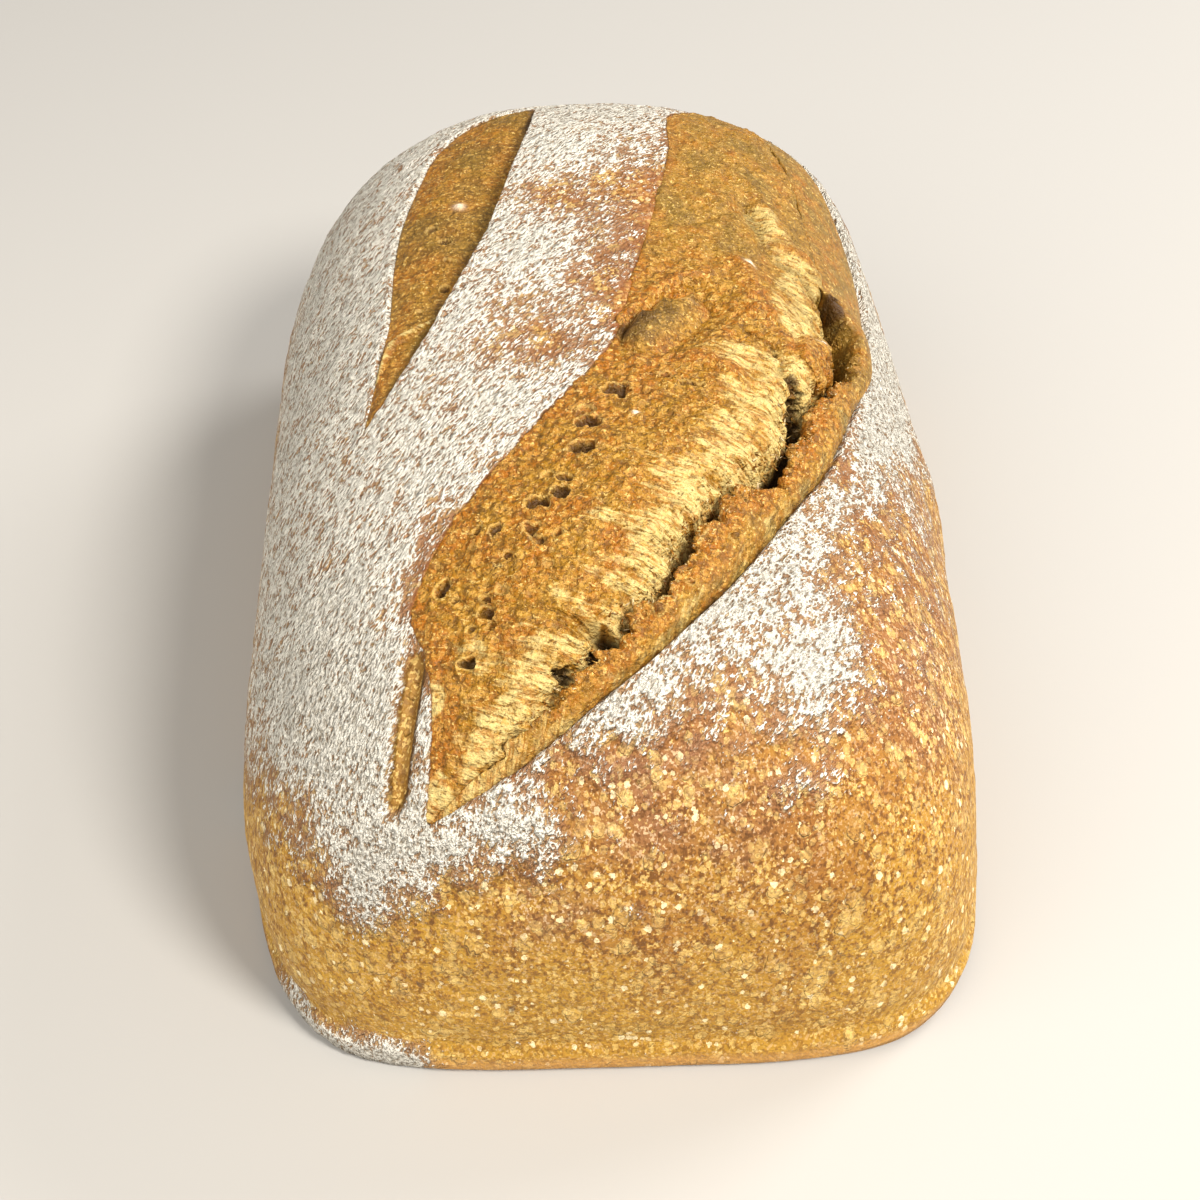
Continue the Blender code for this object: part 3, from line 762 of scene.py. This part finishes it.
def lipSection(s):
    v = lipPiece
    right, opening, depth, lip = (wide(name, s) for name in ("right", "opening", "depth", "lip"))
    crack = crackAt(s)
    width = np.maximum(right - crack, 0.15)
    ends, torn = between(*wideSlash["fades"], s), tornShare(depth)
    rim = lip * torn + 0.85 * wide("bloom", s) * (1 - torn)
    tear = lipTear(s)
    knots = (
        (right + v["tuck"], -1.7 * ends - 0.3),
        (right - 0.03 * width, -1.4 * ends),
        (right - 0.10 * width, 0.2 * lip - 0.6 * ends),
        (right - 0.28 * width, 0.72 * lip),
        (crack + 0.45 * width, 0.95 * rim),
        (crack + 0.20 * width + 0.4 * tear, rim),
        (crack + 0.06 * width + tear, 0.9 * rim),
        (crack + 0.03 * width + tear, (0.6 + 0.35 * (1 - torn)) * rim),
        (crack + 0.6 * opening + 0.3 * tear, -0.25 * depth + 0.9 * rim * (1 - torn)),
        (crack + 0.9 * opening, -0.95 * depth - 0.3),
        (crack + 1.6 * opening + 0.4, -depth - 1.4),
        (crack + 0.7 * width, -0.5 * depth - 2.6 * ends - 0.3),
    )
    weights = (1, 1, 1, 1, 1, 1.3, 1.5, 1.2, 0.8, 0.3, 0.15, 0.15)
    return knots, weights


def buildLip(material):
    v = lipPiece
    bm, s, c, h, points, normals = sweptPiece(wideSlash, v["rows"], v["around"], lipSection, 2)
    right, crack = wide("right", s), wide("crack", s)
    torn = tornShare(wide("depth", s))
    across = (c - crack) / np.maximum(right - crack, 0.15)
    far = smoothStep(84, 100, s)
    patchy = softNoise(points, 3, 70)
    rimSide = smoothStep(0.6, 0.15, across + 0.2 * patchy) * torn
    rise = layeredNoise(points, v["unevenness"], 71) * (0.35 + rimSide) * (1 - 0.75 * far)
    rise += v["pebbleHeight"] * (1 - 2 * cellNoise(points, v["pebbleSize"], 77)) * (1 - far)
    sinks, hole = pressHoles(points, s, c, v["holes"], 78)
    rise = (rise - sinks) * smoothStep(-5, -1.5, h)
    writePoints(bm, points + normals * rise[:, None])
    keepRim("lip", bm, (across < 0.2 + 0.1 * patchy) & (h > 0.2) & (torn > 0.5) & (s < 100))

    toast = rimSide * (0.8 + 0.9 * patchy) * (1 - 0.6 * far) * smoothStep(6, 28, s)
    for other in (
        bell(s - 54, 5) * rimSide, bell(fromLine(s, c, v["flap"]), 1.1), 0.3 + 0.5 * softNoise(points, 6, 76),
    ):
        toast = np.maximum(toast, other)
    flank = smoothStep(0.35, 0.8, across) * (1 - far)
    pale = np.maximum(0.5 * smoothStep(24, 6, s), 0.3 * flank + 0.5 * patchy)
    olive = 0.5 * flank * smoothStep(10, 30, s) + far * (0.45 + 0.6 * patchy) + 0.7 * patchy
    # gloom is painted shade deep in the crack and along the deep hole; foot is a painted shadow line under
    # the lip's right edge
    gloom = np.maximum(smoothStep(-2.0, -5, h) * torn, smoothStep(1.9, 1.0, fromLine(s, c, v["deepHole"])))
    foot = smoothStep(0.8, 0.2, right - c + 0.7 * patchy) * between(14, 30, 115, 135, s)
    return finishPiece("lip", bm, material, {
        "toast": limited(toast), "pale": limited(pale), "olive": limited(olive), "hole": limited(hole),
        "gloom": np.maximum(gloom, 0.6 * foot), "fleck": np.zeros(len(s)),
        "calm": np.maximum(0.75 * far, 0.35 * smoothStep(0.3, 0.7, across)),
        "along": c, "across": s,  # its fibres run lengthwise
    })


shredPiece = {
    "number": {"bloom": 420, "lip": 620},
    "length": (0.5, 1.7),
    "thickness": (0.1, 0.26),
    "sides": 5,
    "seed": 12,
    "spread": 0.75,  # how much their directions differ
}

tornRims = {}  # points and normals that the shreds grow from


def keepRim(name, bm, mask):
    picked = np.flatnonzero(mask)
    tornRims[name] = readPoints(bm)[picked], outwardNormals(bm)[picked]


def buildShreds(material):
    # threads and teeth of crumb that stand up along the crack
    v = shredPiece
    random = np.random.default_rng(v["seed"])
    bm = bmesh.new()
    bright, brown = [], []
    for name, number in v["number"].items():
        places, normals = tornRims[name]
        for i in random.choice(len(places), number, replace=False):
            way = normals[i] + v["spread"] * random.normal(size=3)
            way /= np.linalg.norm(way)
            length = random.uniform(*v["length"]) * random.uniform(0.4, 1)
            radius = random.uniform(*v["thickness"])
            turn = Vector(way).to_track_quat("Z", "Y").to_matrix().to_4x4()
            flat = Matrix.Diagonal((1, random.uniform(0.35, 1), 1, 1))
            place = Matrix.Translation(places[i] + way * length * 0.4)
            made = bmesh.ops.create_cone(
                bm, cap_ends=True, segments=v["sides"], radius1=radius, radius2=0.25 * radius,
                depth=length, matrix=place @ turn @ flat,
            )
            bright += [random.uniform(0, 1)] * len(made["verts"])
            brown += [random.uniform(0, 1)] * len(made["verts"])
    bright, brown = np.array(bright), np.array(brown)
    points = readPoints(bm)
    zero = np.zeros(len(points))
    return finishPiece("shreds", bm, material, {
        "toast": 1.2 * brown, "pale": smoothStep(0.3, 0.9, bright), "olive": 0.5 * (1 - brown),
        "gloom": 0.35 * smoothStep(0.4, 0, bright), "fleck": 0.35 * smoothStep(0.75, 1, bright),
        "hole": zero, "calm": zero, "along": points[:, 0], "across": points[:, 1],
    })


narrowPiece = {
    "rows": 330,
    "around": 112,
    "unevenness": ((7, 0.35), (2.6, 0.28), (1.1, 0.14)),
    "holes": (  # along, across, half length, half width, depth
        (47.2, -3.0, 0.9, 1.0, 1.0), (34.2, 1.3, 0.9, 0.8, 0.8), (28, -1, 0.6, 0.7, 0.5),
        (50.5, -6.5, 0.8, 1.0, 0.6), (42, -0.5, 0.7, 0.9, 0.6),
    ),
    "nubs": ((57.9, -4.2, 0.9, 0.5), (56.6, 3.9, 0.9, 0.6)),  # along, across, reach, rise
    # the thin ridge that crosses it
    "fold": ((30.7, 4.4), (25.0, 1.8), (22.2, -0.8), (19.5, -2.4), (15.5, -2.7), (11.5, -2.0)),
    "foldRise": 0.9,
    "foldHalfWidth": 0.5,
}


def narrowSection(s):
    left, right, depth = (narrow(name, s) for name in ("left", "right", "depth"))
    face = np.maximum(right - left, 0.15)
    ends = between(*narrowSlash["fades"], s)
    knots = (
        (left - 0.3, -1.4 * ends - 0.3),
        (left + 0.02 * face, -0.18 * depth - 0.1),
        (left + 0.35 * face, -0.35 * depth),
        (left + 0.70 * face, -0.75 * depth),
        (left + 0.93 * face, -depth),
        (right + 0.5, -1.1 * depth - 0.3),
        (right - 0.2 * face, -1.2 * depth - 1.6),
        (left + 0.4 * face, -1.0 * depth - 1.6),
    )
    return knots, (1, 1, 1, 1, 1, 0.3, 0.12, 0.12)


def buildNarrow(material):
    v = narrowPiece
    bm, s, c, h, points, normals = sweptPiece(narrowSlash, v["rows"], v["around"], narrowSection, 2)
    fromLeft, fromRight = c - narrow("left", s), narrow("right", s) - c
    patchy = softNoise(points, 3, 84)
    sinks, hole = pressHoles(points, s, c, v["holes"], 88)
    fold = bell(fromLine(s, c, v["fold"]), v["foldHalfWidth"])
    rise = layeredNoise(points, v["unevenness"], 80) - sinks + v["foldRise"] * fold
    nub = np.zeros(len(points))
    for along, across, reach, height in v["nubs"]:
        shape = bell(np.hypot(s - along, c - across), reach)
        rise += height * shape
        nub = np.maximum(nub, shape)
    rise *= smoothStep(0, 1.2, fromLeft) * smoothStep(-0.2, 1.0, fromRight)
    writePoints(bm, points + normals * rise[:, None])

    toast = 0.35 + 0.5 * softNoise(points, 6, 85) + 0.3 * patchy
    toast = np.maximum(toast, smoothStep(4.5, 0.8, fromLeft + 3 * patchy))
    toast = np.maximum(toast, 0.8 * smoothStep(1.6, 0.4, fromRight))
    # olive and gloom darken it as painted shade: a little over the whole cut, and most in a painted shadow
    # along its right wall
    olive = 0.5 + 0.9 * softNoise(points, 7, 87) + 0.3 * smoothStep(4, 1, fromRight)
    gloom = 0.12 + 0.7 * smoothStep(1.9, 0.7, fromRight + 0.6 * patchy) * smoothStep(2, 12, s)
    return finishPiece("narrowCut", bm, material, {
        "toast": limited(toast), "pale": limited(0.9 * fold), "olive": limited(olive) * (1 - fold),
        "hole": limited(hole), "gloom": gloom, "fleck": 0.75 * nub, "calm": np.full(len(points), 0.4),
        "along": s, "across": c,
    })


def colour(red, green, blue):
    # from the 0 to 255 values of a screen
    linear = [v / 255 / 12.92 if v < 10.3 else ((v / 255 + 0.055) / 1.055) ** 2.4 for v in (red, green, blue)]
    return (*linear, 1)


def setInputs(tree, made, inputs):
    for key, value in inputs.items():
        if isinstance(value, bpy.types.NodeSocket):
            tree.links.new(value, made.inputs[key])
        else:
            made.inputs[key].default_value = value


def addNode(tree, kind, inputs, **settings):
    made = tree.nodes.new("ShaderNode" + kind)
    for key, value in settings.items():
        setattr(made, key, value)
    setInputs(tree, made, inputs)
    return made


def maths(tree, operation, *values):
    return addNode(tree, "Math", dict(enumerate(values)), operation=operation).outputs[0]


def times(tree, *values):
    return maths(tree, "MULTIPLY", *values)


def sloped(tree, value, slope, start):
    return maths(tree, "MULTIPLY_ADD", value, slope, start)


def vectors(tree, operation, first, second):
    inputs = {0: first, "Scale" if operation == "SCALE" else 1: second}
    return addNode(tree, "VectorMath", inputs, operation=operation).outputs[0]


def blended(tree, *parts):
    # the sum of values, each times its share
    total = times(tree, *parts[0])
    for value, share in parts[1:]:
        total = sloped(tree, value, share, total)
    return total


def ranged(tree, value, low, high, toLow=0.0, toHigh=1.0, kind="SMOOTHSTEP"):
    inputs = {"Value": value, "From Min": low, "From Max": high, "To Min": toLow, "To Max": toHigh}
    return addNode(tree, "MapRange", inputs, interpolation_type=kind).outputs[0]


def mixed(tree, amount, first, second):
    return addNode(tree, "Mix", {0: amount, 6: first, 7: second}, data_type="RGBA").outputs[2]


def coated(tree, shade, coats):
    # lays coats of (amount, colour) over one another
    for amount, tint in coats:
        shade = mixed(tree, amount, shade, tint)
    return shade


def mottled(tree, place, size, detail=2.0, roughness=0.5, output=0):
    inputs = {"Vector": place, "Scale": 1 / size, "Detail": detail, "Roughness": roughness}
    return addNode(tree, "TexNoise", inputs).outputs[output]


def stretched(tree, place, turn, scale):
    inputs = {"Vector": place, "Rotation": (0, 0, math.radians(turn)), "Scale": scale}
    return addNode(tree, "Mapping", inputs, vector_type="TEXTURE").outputs[0]


def attributes(tree, *names):
    return [addNode(tree, "Attribute", {}, attribute_name=name).outputs["Fac"] for name in names]


def placeInMillimetres(tree):
    return vectors(tree, "SCALE", addNode(tree, "TexCoord", {}).outputs["Object"], 1 / mm)


def bentCells(tree, place, size, waveSize, detail, bend):
    # cells with wavy borders
    wave = vectors(tree, "SCALE", mottled(tree, place, waveSize, detail, output="Color"), bend)
    bent = vectors(tree, "ADD", place, wave)
    return addNode(tree, "TexVoronoi", {"Vector": bent, "Scale": 1 / size, "Randomness": 1.0})


def newGroup(name, inputs, outputs):
    group = bpy.data.node_groups.new(name, "ShaderNodeTree")
    for label, kind in inputs:
        group.interface.new_socket(label, in_out="INPUT", socket_type="NodeSocket" + kind)
    for label, kind in outputs:
        group.interface.new_socket(label, in_out="OUTPUT", socket_type="NodeSocket" + kind)
    return group, group.nodes.new("NodeGroupInput"), group.nodes.new("NodeGroupOutput")


def useGroup(tree, group, inputs):
    made = tree.nodes.new("ShaderNodeGroup")
    made.node_tree = group
    setInputs(tree, made, inputs)
    return made.outputs


def newMaterial(name):
    material = bpy.data.materials.new(name)
    material.use_nodes = True
    return material, material.node_tree, material.node_tree.nodes["Principled BSDF"]


bumpDepth = 0.42 * mm


def finishLook(tree, shader, shade, roughness, relief, shine):
    bump = addNode(tree, "Bump", {"Height": relief, "Distance": bumpDepth, "Strength": 1.0}).outputs[0]
    setInputs(tree, shader, {
        "Base Color": shade, "Roughness": roughness, "Normal": bump, "Specular IOR Level": shine,
    })


flourLook = {
    "white": colour(254, 248, 234),
    "thin": colour(196, 156, 116),
    "pore": colour(134, 100, 72),
    # painted shade for the flour in the hollows between its lumps
    "hollow": colour(142, 124, 96),
    "opacity": 0.97,
    "roughness": 0.95,
    "combing": 50,  # the grains' direction in degrees
    "stretch": (1.7, 0.85, 1.1),
    "noises": ((0.36, 1.0, 0.6), (0.8, 1.0, 0.55)),  # grain and coarse: size, detail, roughness
    "clumps": (2.2, 1.0, 0.6),
}


def flourGroup():
    # how much of each spot is white, how much is only powdery, the lumps' height and the hollows between
    # them, which get painted shade
    v = flourLook
    labels = ("Cover", "Powder", "Height", "HollowShade")
    outputs = [(label, "Float") for label in labels]
    group, given, result = newGroup("flourDust", [("Place", "Vector"), ("Density", "Float")], outputs)
    place, density = given.outputs["Place"], given.outputs["Density"]
    combed = stretched(group, place, v["combing"], v["stretch"])
    grain, coarse = (mottled(group, combed, *layer) for layer in v["noises"])
    clump = mottled(group, place, *v["clumps"])
    level = blended(group, (grain, 1.0), (coarse, 0.9), (clump, 0.7))
    threshold = sloped(group, density, -0.5, 1.66)
    cover = ranged(group, maths(group, "SUBTRACT", level, threshold), -0.1, 0.12)
    cover = times(group, cover, ranged(group, density, 0.02, 0.12))
    powder = ranged(group, blended(group, (density, 1.0), (coarse, 0.5)), 0.45, 1.15)
    lumps = times(group, density, blended(group, (grain, 5.0), (coarse, 8.0)))
    height = blended(group, (cover, 0.4), (lumps, 1.0))
    hollow = ranged(group, blended(group, (grain, 0.4), (coarse, 0.6)), 0.53, 0.4)
    setInputs(group, result, dict(zip(labels, (cover, powder, height, hollow))))
    return group


spotShape = {  # in cell sizes
    "waveSize": 1 / 2.6,
    "waveBend": 0.5,
    "radii": (0.2, 0.55),
    "edge": 0.07,
    "rimOut": 0.1,
    "rimWidth": 0.09,
}


def spotGroup(name):
    # round blisters of mixed sizes, one or none to a cell
    v = spotShape
    inputs = [("Place", "Vector"), ("Size", "Float"), ("Share", "Float")]
    group, given, result = newGroup(name, inputs, [("Disc", "Float"), ("Ring", "Float"), ("Rim", "Float")])
    perSize = maths(group, "DIVIDE", 1.0, given.outputs["Size"])
    place = vectors(group, "SCALE", given.outputs["Place"], perSize)
    cell = bentCells(group, place, 1.0, v["waveSize"], 1.0, v["waveBend"])
    random = addNode(group, "SeparateXYZ", {0: cell.outputs["Color"]}).outputs
    radius = ranged(group, random["Y"], 0.0, 1.0, *v["radii"], "LINEAR")
    inner = maths(group, "SUBTRACT", radius, cell.outputs["Distance"])
    chosen = maths(group, "LESS_THAN", random["X"], given.outputs["Share"])
    fromEdge = maths(group, "ABSOLUTE", inner)
    fromRim = maths(group, "ABSOLUTE", maths(group, "ADD", inner, v["rimOut"]))
    setInputs(group, result, {
        "Disc": times(group, ranged(group, inner, 0.0, v["edge"]), chosen),
        "Ring": times(group, ranged(group, fromEdge, v["edge"], 0.0), chosen),
        "Rim": times(group, ranged(group, fromRim, v["rimWidth"], 0.0), chosen),
    })
    return group


crustLook = {
    "golden": colour(168, 121, 36),
    "yellow": colour(186, 142, 50),
    "orange": colour(148, 96, 38),
    "deep": colour(96, 58, 22),
    "mauve": colour(142, 96, 66),
    "rim": colour(142, 85, 46),
    "blister": colour(234, 200, 122),
    "dusky": colour(142, 98, 64),
    "grit": colour(220, 186, 144),
    "flake": colour(250, 232, 184),
    # colour of the scorched marks, also the painted shade on the nick's right wall
    "scorchAndShade": colour(92, 66, 44),
    "cutFace": colour(150, 110, 46),
    "foot": colour(200, 146, 80),
    "roughness": 0.56,
    "shine": 0.28,
    # broad, middling, speckle and fine: size, detail, roughness
    "noises": ((16, 1), (4.5, 2, 0.65), (1.3, 2, 0.65), (0.6, 1, 0.6)),
    "grains": (0.5, 1, 0.6),
    "grainShift": (50, 0, 0),
    "footHeight": (5.5, 3.0),
    "blisters": (  # size, share of the cells, strength, colour
        (3.8, 0.24, 0.26, "blister"), (2.2, 0.3, 0.46, "blister"), (1.2, 0.45, 0.48, "blister"),
        (1.1, 0.09, 0.85, "flake"),
    ),
    "raisedFrom": 2,  # smaller blisters have no relief
}


def crustMaterial():
    v = crustLook
    material, tree, shader = newMaterial("crust")
    truePlace = placeInMillimetres(tree)
    place = vectors(tree, "MULTIPLY", truePlace, (1, 1, 0.7))
    flour, outside, toast, edgeSide, cut, scorchAndShade, dusky = attributes(
        tree, "flour", "outside", "toast", "edgeSide", "cut", "scorchAndShade", "dusky"
    )
    height = addNode(tree, "SeparateXYZ", {0: truePlace}).outputs["Z"]
    broad, middling, speckle, fine = (mottled(tree, place, *layer) for layer in v["noises"])
    grit = mottled(tree, vectors(tree, "ADD", place, v["grainShift"]), *v["grains"])
    warm = blended(tree, (toast, 0.7), (broad, 0.9), (middling, 0.5))
    low = ranged(tree, blended(tree, (height, 1.0), (broad, 40.0)), 66.0, 30.0)
    duskier = times(tree, dusky, ranged(tree, middling, 0.35, 0.6, 0.2, 0.75))
    pits = ranged(tree, blended(tree, (fine, 0.6), (speckle, 0.5)), 0.56, 0.66)
    grains = ranged(tree, blended(tree, (grit, 0.7), (speckle, 0.4)), 0.5, 0.43)
    shade = coated(tree, v["golden"], (
        (ranged(tree, middling, 0.35, 0.7), v["yellow"]),
        (ranged(tree, warm, 0.75, 1.4), v["orange"]),
        (ranged(tree, speckle, 0.46, 0.62, 0, 0.65), v["orange"]),
        (times(tree, low, 0.45), v["yellow"]),
        (duskier, v["dusky"]),
        (times(tree, pits, sloped(tree, low, -0.35, 0.75)), v["deep"]),
        (times(tree, grains, sloped(tree, dusky, 0.35, 0.3)), v["grit"]),
        (ranged(tree, blended(tree, (flour, 1.0), (middling, 0.6)), 0.35, 0.8, 0, 0.6), v["mauve"]),
        (ranged(tree, blended(tree, (fine, 0.7), (middling, 0.5)), 0.5, 0.42, 0, 0.6), v["blister"]),
    ))

    spots = spotGroup("blisters")
    relief = blended(tree, (fine, 0.8), (speckle, 0.8))
    uneven = ranged(tree, middling, 0.7, 0.42, 0.3, 1.0)
    uneven = times(tree, uneven, ranged(tree, fine, 0.65, 0.45, 0.55, 1.0))
    for size, share, strength, tint in v["blisters"]:
        spot = useGroup(tree, spots, {"Place": place, "Size": size, "Share": share})
        ring = times(tree, spot["Ring"], 1.25 * strength)
        amount = maths(tree, "MAXIMUM", times(tree, spot["Disc"], strength), ring)
        shade = coated(tree, shade, (
            (times(tree, amount, uneven), v[tint]),
            (times(tree, spot["Rim"], 0.2), v["deep"]),
        ))
        if size > v["raisedFrom"]:
            relief = sloped(tree, spot["Disc"], 0.2 * size, relief)

    edge = times(tree, edgeSide, ranged(tree, speckle, 0.38, 0.58, 0.1, 0.85))
    cutFace = coated(tree, v["cutFace"], (
        (ranged(tree, speckle, 0.45, 0.65, 0, 0.6), v["deep"]),
        (ranged(tree, fine, 0.48, 0.35, 0, 0.5), v["blister"]),
    ))
    density = times(tree, flour, maths(tree, "SUBTRACT", 1.0, cut))
    dust = useGroup(tree, flourGroup(), {"Place": place, "Density": density})
    # flour in the hollows between lumps is darkened with painted shade
    white = mixed(tree, times(tree, dust["HollowShade"], 0.6), flourLook["white"], flourLook["hollow"])
    shade = coated(tree, shade, (
        (ranged(tree, height, *v["footHeight"], 0, 0.6), v["foot"]),
        (maths(tree, "MAXIMUM", edge, ranged(tree, outside, 0.4, 0.0, 0, 0.35)), v["rim"]),
        (cut, cutFace),
        (ranged(tree, scorchAndShade, 0.35, 0.75, 0, 0.8), v["scorchAndShade"]),
        (times(tree, dust["Powder"], 0.6), flourLook["thin"]),
        (times(tree, dust["Powder"], ranged(tree, fine, 0.52, 0.66, 0, 0.8)), flourLook["pore"]),
        (times(tree, dust["Cover"], flourLook["opacity"]), white),
    ))
    roughness = ranged(tree, dust["Cover"], 0, 1, v["roughness"], flourLook["roughness"])
    relief = maths(tree, "ADD", relief, dust["Height"])
    finishLook(tree, shader, shade, roughness, relief, v["shine"])
    return material


crumbLook = {
    "golden": colour(154, 109, 19),
    "toasted": colour(157, 94, 11),
    "pale": colour(216, 192, 124),
    "muted": colour(136, 106, 44),
    "pebble": colour(198, 151, 68),
    "wall": colour(226, 190, 110),
    # greener crumb, partly used as painted shade in creases, the hollow, along the crack and by the narrow
    # cut's right wall
    "olive": colour(102, 82, 26),
    # painted shade inside holes and wherever gloom is set
    "hole": colour(58, 34, 8),
    "gap": colour(90, 60, 14),
    "fleck": colour(250, 232, 206),
    "roughness": 0.5,
    "shine": 0.3,
    "noises": ((2.4, 2, 0.65), (0.9, 2, 0.7), (0.42, 1, 0.65)),  # middling, small and fine
    "streaks": ((0.55, 2.8), (1.7, 7.0)),  # fibre and strips: width, length
    "bands": (1.1, 4.5),
    "bandShift": 40.0,
    "cellSize": 1.15,
    "waveSize": 1 / 0.9,
    "waveBend": 2.4,
    "pebbles": ((1.7, 0.5, 0.5), (1.0, 0.6, 0.45)),  # size, share of the cells, strength
}


def combedNoise(tree, along, across, width, length):
    # streaks that run across the slash
    place = {0: maths(tree, "DIVIDE", along, width), 1: maths(tree, "DIVIDE", across, length), 2: 0.0}
    return mottled(tree, addNode(tree, "CombineXYZ", place).outputs[0], 1.0, 2.0, 0.65)


def crumbMaterial():
    v = crumbLook
    material, tree, shader = newMaterial("crumb")
    place = placeInMillimetres(tree)
    # shares of browner, paler and greener crumb (greener is partly painted shade), of painted shade in holes
    # and elsewhere (gloom), of white flecks, and of a plainer look
    toast, pale, olive, hole, gloom, fleck, calm, along, across = attributes(
        tree, "toast", "pale", "olive", "hole", "gloom", "fleck", "calm", "along", "across"
    )
    middling, small, fine = (mottled(tree, place, *layer) for layer in v["noises"])
    fibre, strips = (combedNoise(tree, along, across, *streak) for streak in v["streaks"])
    bands = combedNoise(tree, maths(tree, "ADD", along, v["bandShift"]), across, *v["bands"])
    cells = bentCells(tree, place, v["cellSize"], v["waveSize"], 2.0, v["waveBend"])
    lucky = addNode(tree, "SeparateXYZ", {0: cells.outputs["Color"]}).outputs["X"]
    cell = cells.outputs["Distance"]
    lively = sloped(tree, calm, -0.75, 1.0)
    toasted = blended(tree, (toast, 0.9), (middling, 0.9), (fibre, 0.5), (small, 0.4))
    paler = blended(tree, (pale, 1.0), (fibre, 1.2), (strips, 1.6), (small, 0.5), (middling, -0.4))
    strand = times(tree, ranged(tree, fibre, 0.48, 0.36), pale)
    gap = times(tree, ranged(tree, cell, 0.4, 0.8), sloped(tree, pale, -0.6, 0.7))
    pebble = times(tree, ranged(tree, cell, 0.5, 0.25), ranged(tree, lucky, 0.4, 0.9, 0, 0.75))
    shade = coated(tree, v["golden"], (
        (ranged(tree, toasted, 0.95, 1.45), v["toasted"]),
        (ranged(tree, paler, 1.65, 2.25, 0, 0.95), v["pale"]),
        (ranged(tree, blended(tree, (bands, 1.0), (small, 0.4)), 0.71, 0.85, 0, 0.75), v["toasted"]),
        (times(tree, strand, 0.75), v["golden"]),
        (ranged(tree, blended(tree, (fibre, 0.8), (middling, 0.5)), 0.56, 0.46, 0, 0.5), v["toasted"]),
        (ranged(tree, blended(tree, (olive, 0.8), (middling, 0.8)), 0.6, 1.15, 0, 0.75), v["olive"]),
        (times(tree, calm, ranged(tree, middling, 0.62, 0.4, 0.3, 0.85)), v["muted"]),
        (times(tree, gap, lively), v["gap"]),
        (times(tree, pebble, lively), v["pebble"]),
    ))

    spots = spotGroup("pebbles")
    plain = times(tree, lively, sloped(tree, pale, -0.8, 1.0))
    for size, share, strength in v["pebbles"]:
        spot = useGroup(tree, spots, {"Place": place, "Size": size, "Share": share})
        disc = maths(tree, "MAXIMUM", times(tree, spot["Disc"], strength), spot["Ring"])
        shade = coated(tree, shade, (
            (times(tree, spot["Rim"], times(tree, plain, 0.45)), v["gap"]),
            (times(tree, disc, times(tree, plain, 0.55)), v["pebble"]),
        ))

    grit = blended(tree, (small, 0.45), (fine, 0.4), (fibre, 0.25))
    brim = times(tree, ranged(tree, hole, 0.12, 0.3), ranged(tree, hole, 0.52, 0.4))
    shade = coated(tree, shade, (
        (ranged(tree, grit, 0.51, 0.42, 0, 0.75), v["gap"]),
        (ranged(tree, grit, 0.6, 0.7, 0, 0.75), v["wall"]),
        (times(tree, brim, 0.3), v["wall"]),
        # painted shade inside holes and, by gloom, deep in the crack and under rims
        (ranged(tree, hole, 0.35, 0.8, 0, 0.85), v["hole"]),
        (times(tree, gloom, 0.9), v["hole"]),
        (fleck, v["fleck"]),
    ))
    combing = times(tree, fibre, sloped(tree, pale, 1.6, 0.5))
    relief = times(tree, cell, times(tree, lively, -0.7))
    relief = maths(tree, "ADD", relief, blended(tree, (small, 1.1), (fine, 0.6), (combing, 1.0)))
    finishLook(tree, shader, shade, v["roughness"], relief, v["shine"])
    return material


view = {"place": (-13.8, -253.1, 281.6), "yaw": 2.9, "pitch": 46.7, "roll": 1.0, "lens": 57, "nearest": 10}

lights = {  # azimuth from straight behind the camera, height angle, distance, size, power, colour
    "key": (44, 50, 900, 260, 10.6, (1.0, 0.96, 0.89)),
    "fill": (-48, 42, 1000, 900, 7.4, (1.0, 0.97, 0.9)),
    "rim": (120, 38, 1000, 420, 7.0, (1.0, 0.98, 0.94)),
}

lightsAim = (0, 0, 50)

room = {
    "floor": colour(174, 171, 167),
    "floorRoughness": 0.8,
    "floorSize": 3000,
    "air": (1.0, 0.98, 0.95, 1),
    "airStrength": 0.42,
}


def addCamera():
    camera = bpy.data.cameras.new("camera")
    camera.lens = view["lens"]
    camera.clip_start = view["nearest"] * mm
    turned = Matrix.Rotation(math.radians(-view["yaw"]), 4, "Z")
    turned = turned @ Matrix.Rotation(math.radians(90 - view["pitch"]), 4, "X")
    turned = turned @ Matrix.Rotation(math.radians(view["roll"]), 4, "Z")
    holder = placeInScene("camera", camera)
    holder.matrix_world = Matrix.Translation(Vector(view["place"]) * mm + shiftToMiddle) @ turned
    bpy.context.scene.camera = holder


def addLight(name, azimuth, rise, distance, size, power, tint):
    light = bpy.data.lights.new(name, "AREA")
    light.shape, light.size, light.energy, light.color = "DISK", size * mm, power, tint
    a, e = math.radians(azimuth), math.radians(rise)
    place = Vector((math.sin(a) * math.cos(e), -math.cos(a) * math.cos(e), math.sin(e))) * distance * mm
    holder = placeInScene(name, light)
    holder.location = place + Vector(lightsAim) * mm
    holder.rotation_euler = (-place).to_track_quat("-Z", "Y").to_euler()


def addRoom():
    bm = bmesh.new()
    bmesh.ops.create_grid(bm, x_segments=1, y_segments=1, size=room["floorSize"] * mm)
    mesh = bpy.data.meshes.new("floor")
    bm.to_mesh(mesh)
    bm.free()
    material, tree, shader = newMaterial("floor")
    setInputs(tree, shader, {"Base Color": room["floor"], "Roughness": room["floorRoughness"]})
    mesh.materials.append(material)
    floor = placeInScene("floor", mesh)
    world = bpy.data.worlds.new("air")
    world.use_nodes = True
    air = world.node_tree.nodes["Background"]
    setInputs(world.node_tree, air, {"Color": room["air"], "Strength": room["airStrength"]})
    bpy.context.scene.world = world
    bpy.context.scene.view_settings.view_transform = "Standard"


crumb = crumbMaterial()
crust = buildCrust(crustMaterial())
for build in (buildBloom, buildLip, buildNarrow, buildShreds):
    build(crumb)
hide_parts("loaf")
addRoom()
addCamera()
for name, values in lights.items():
    addLight(name, *values)
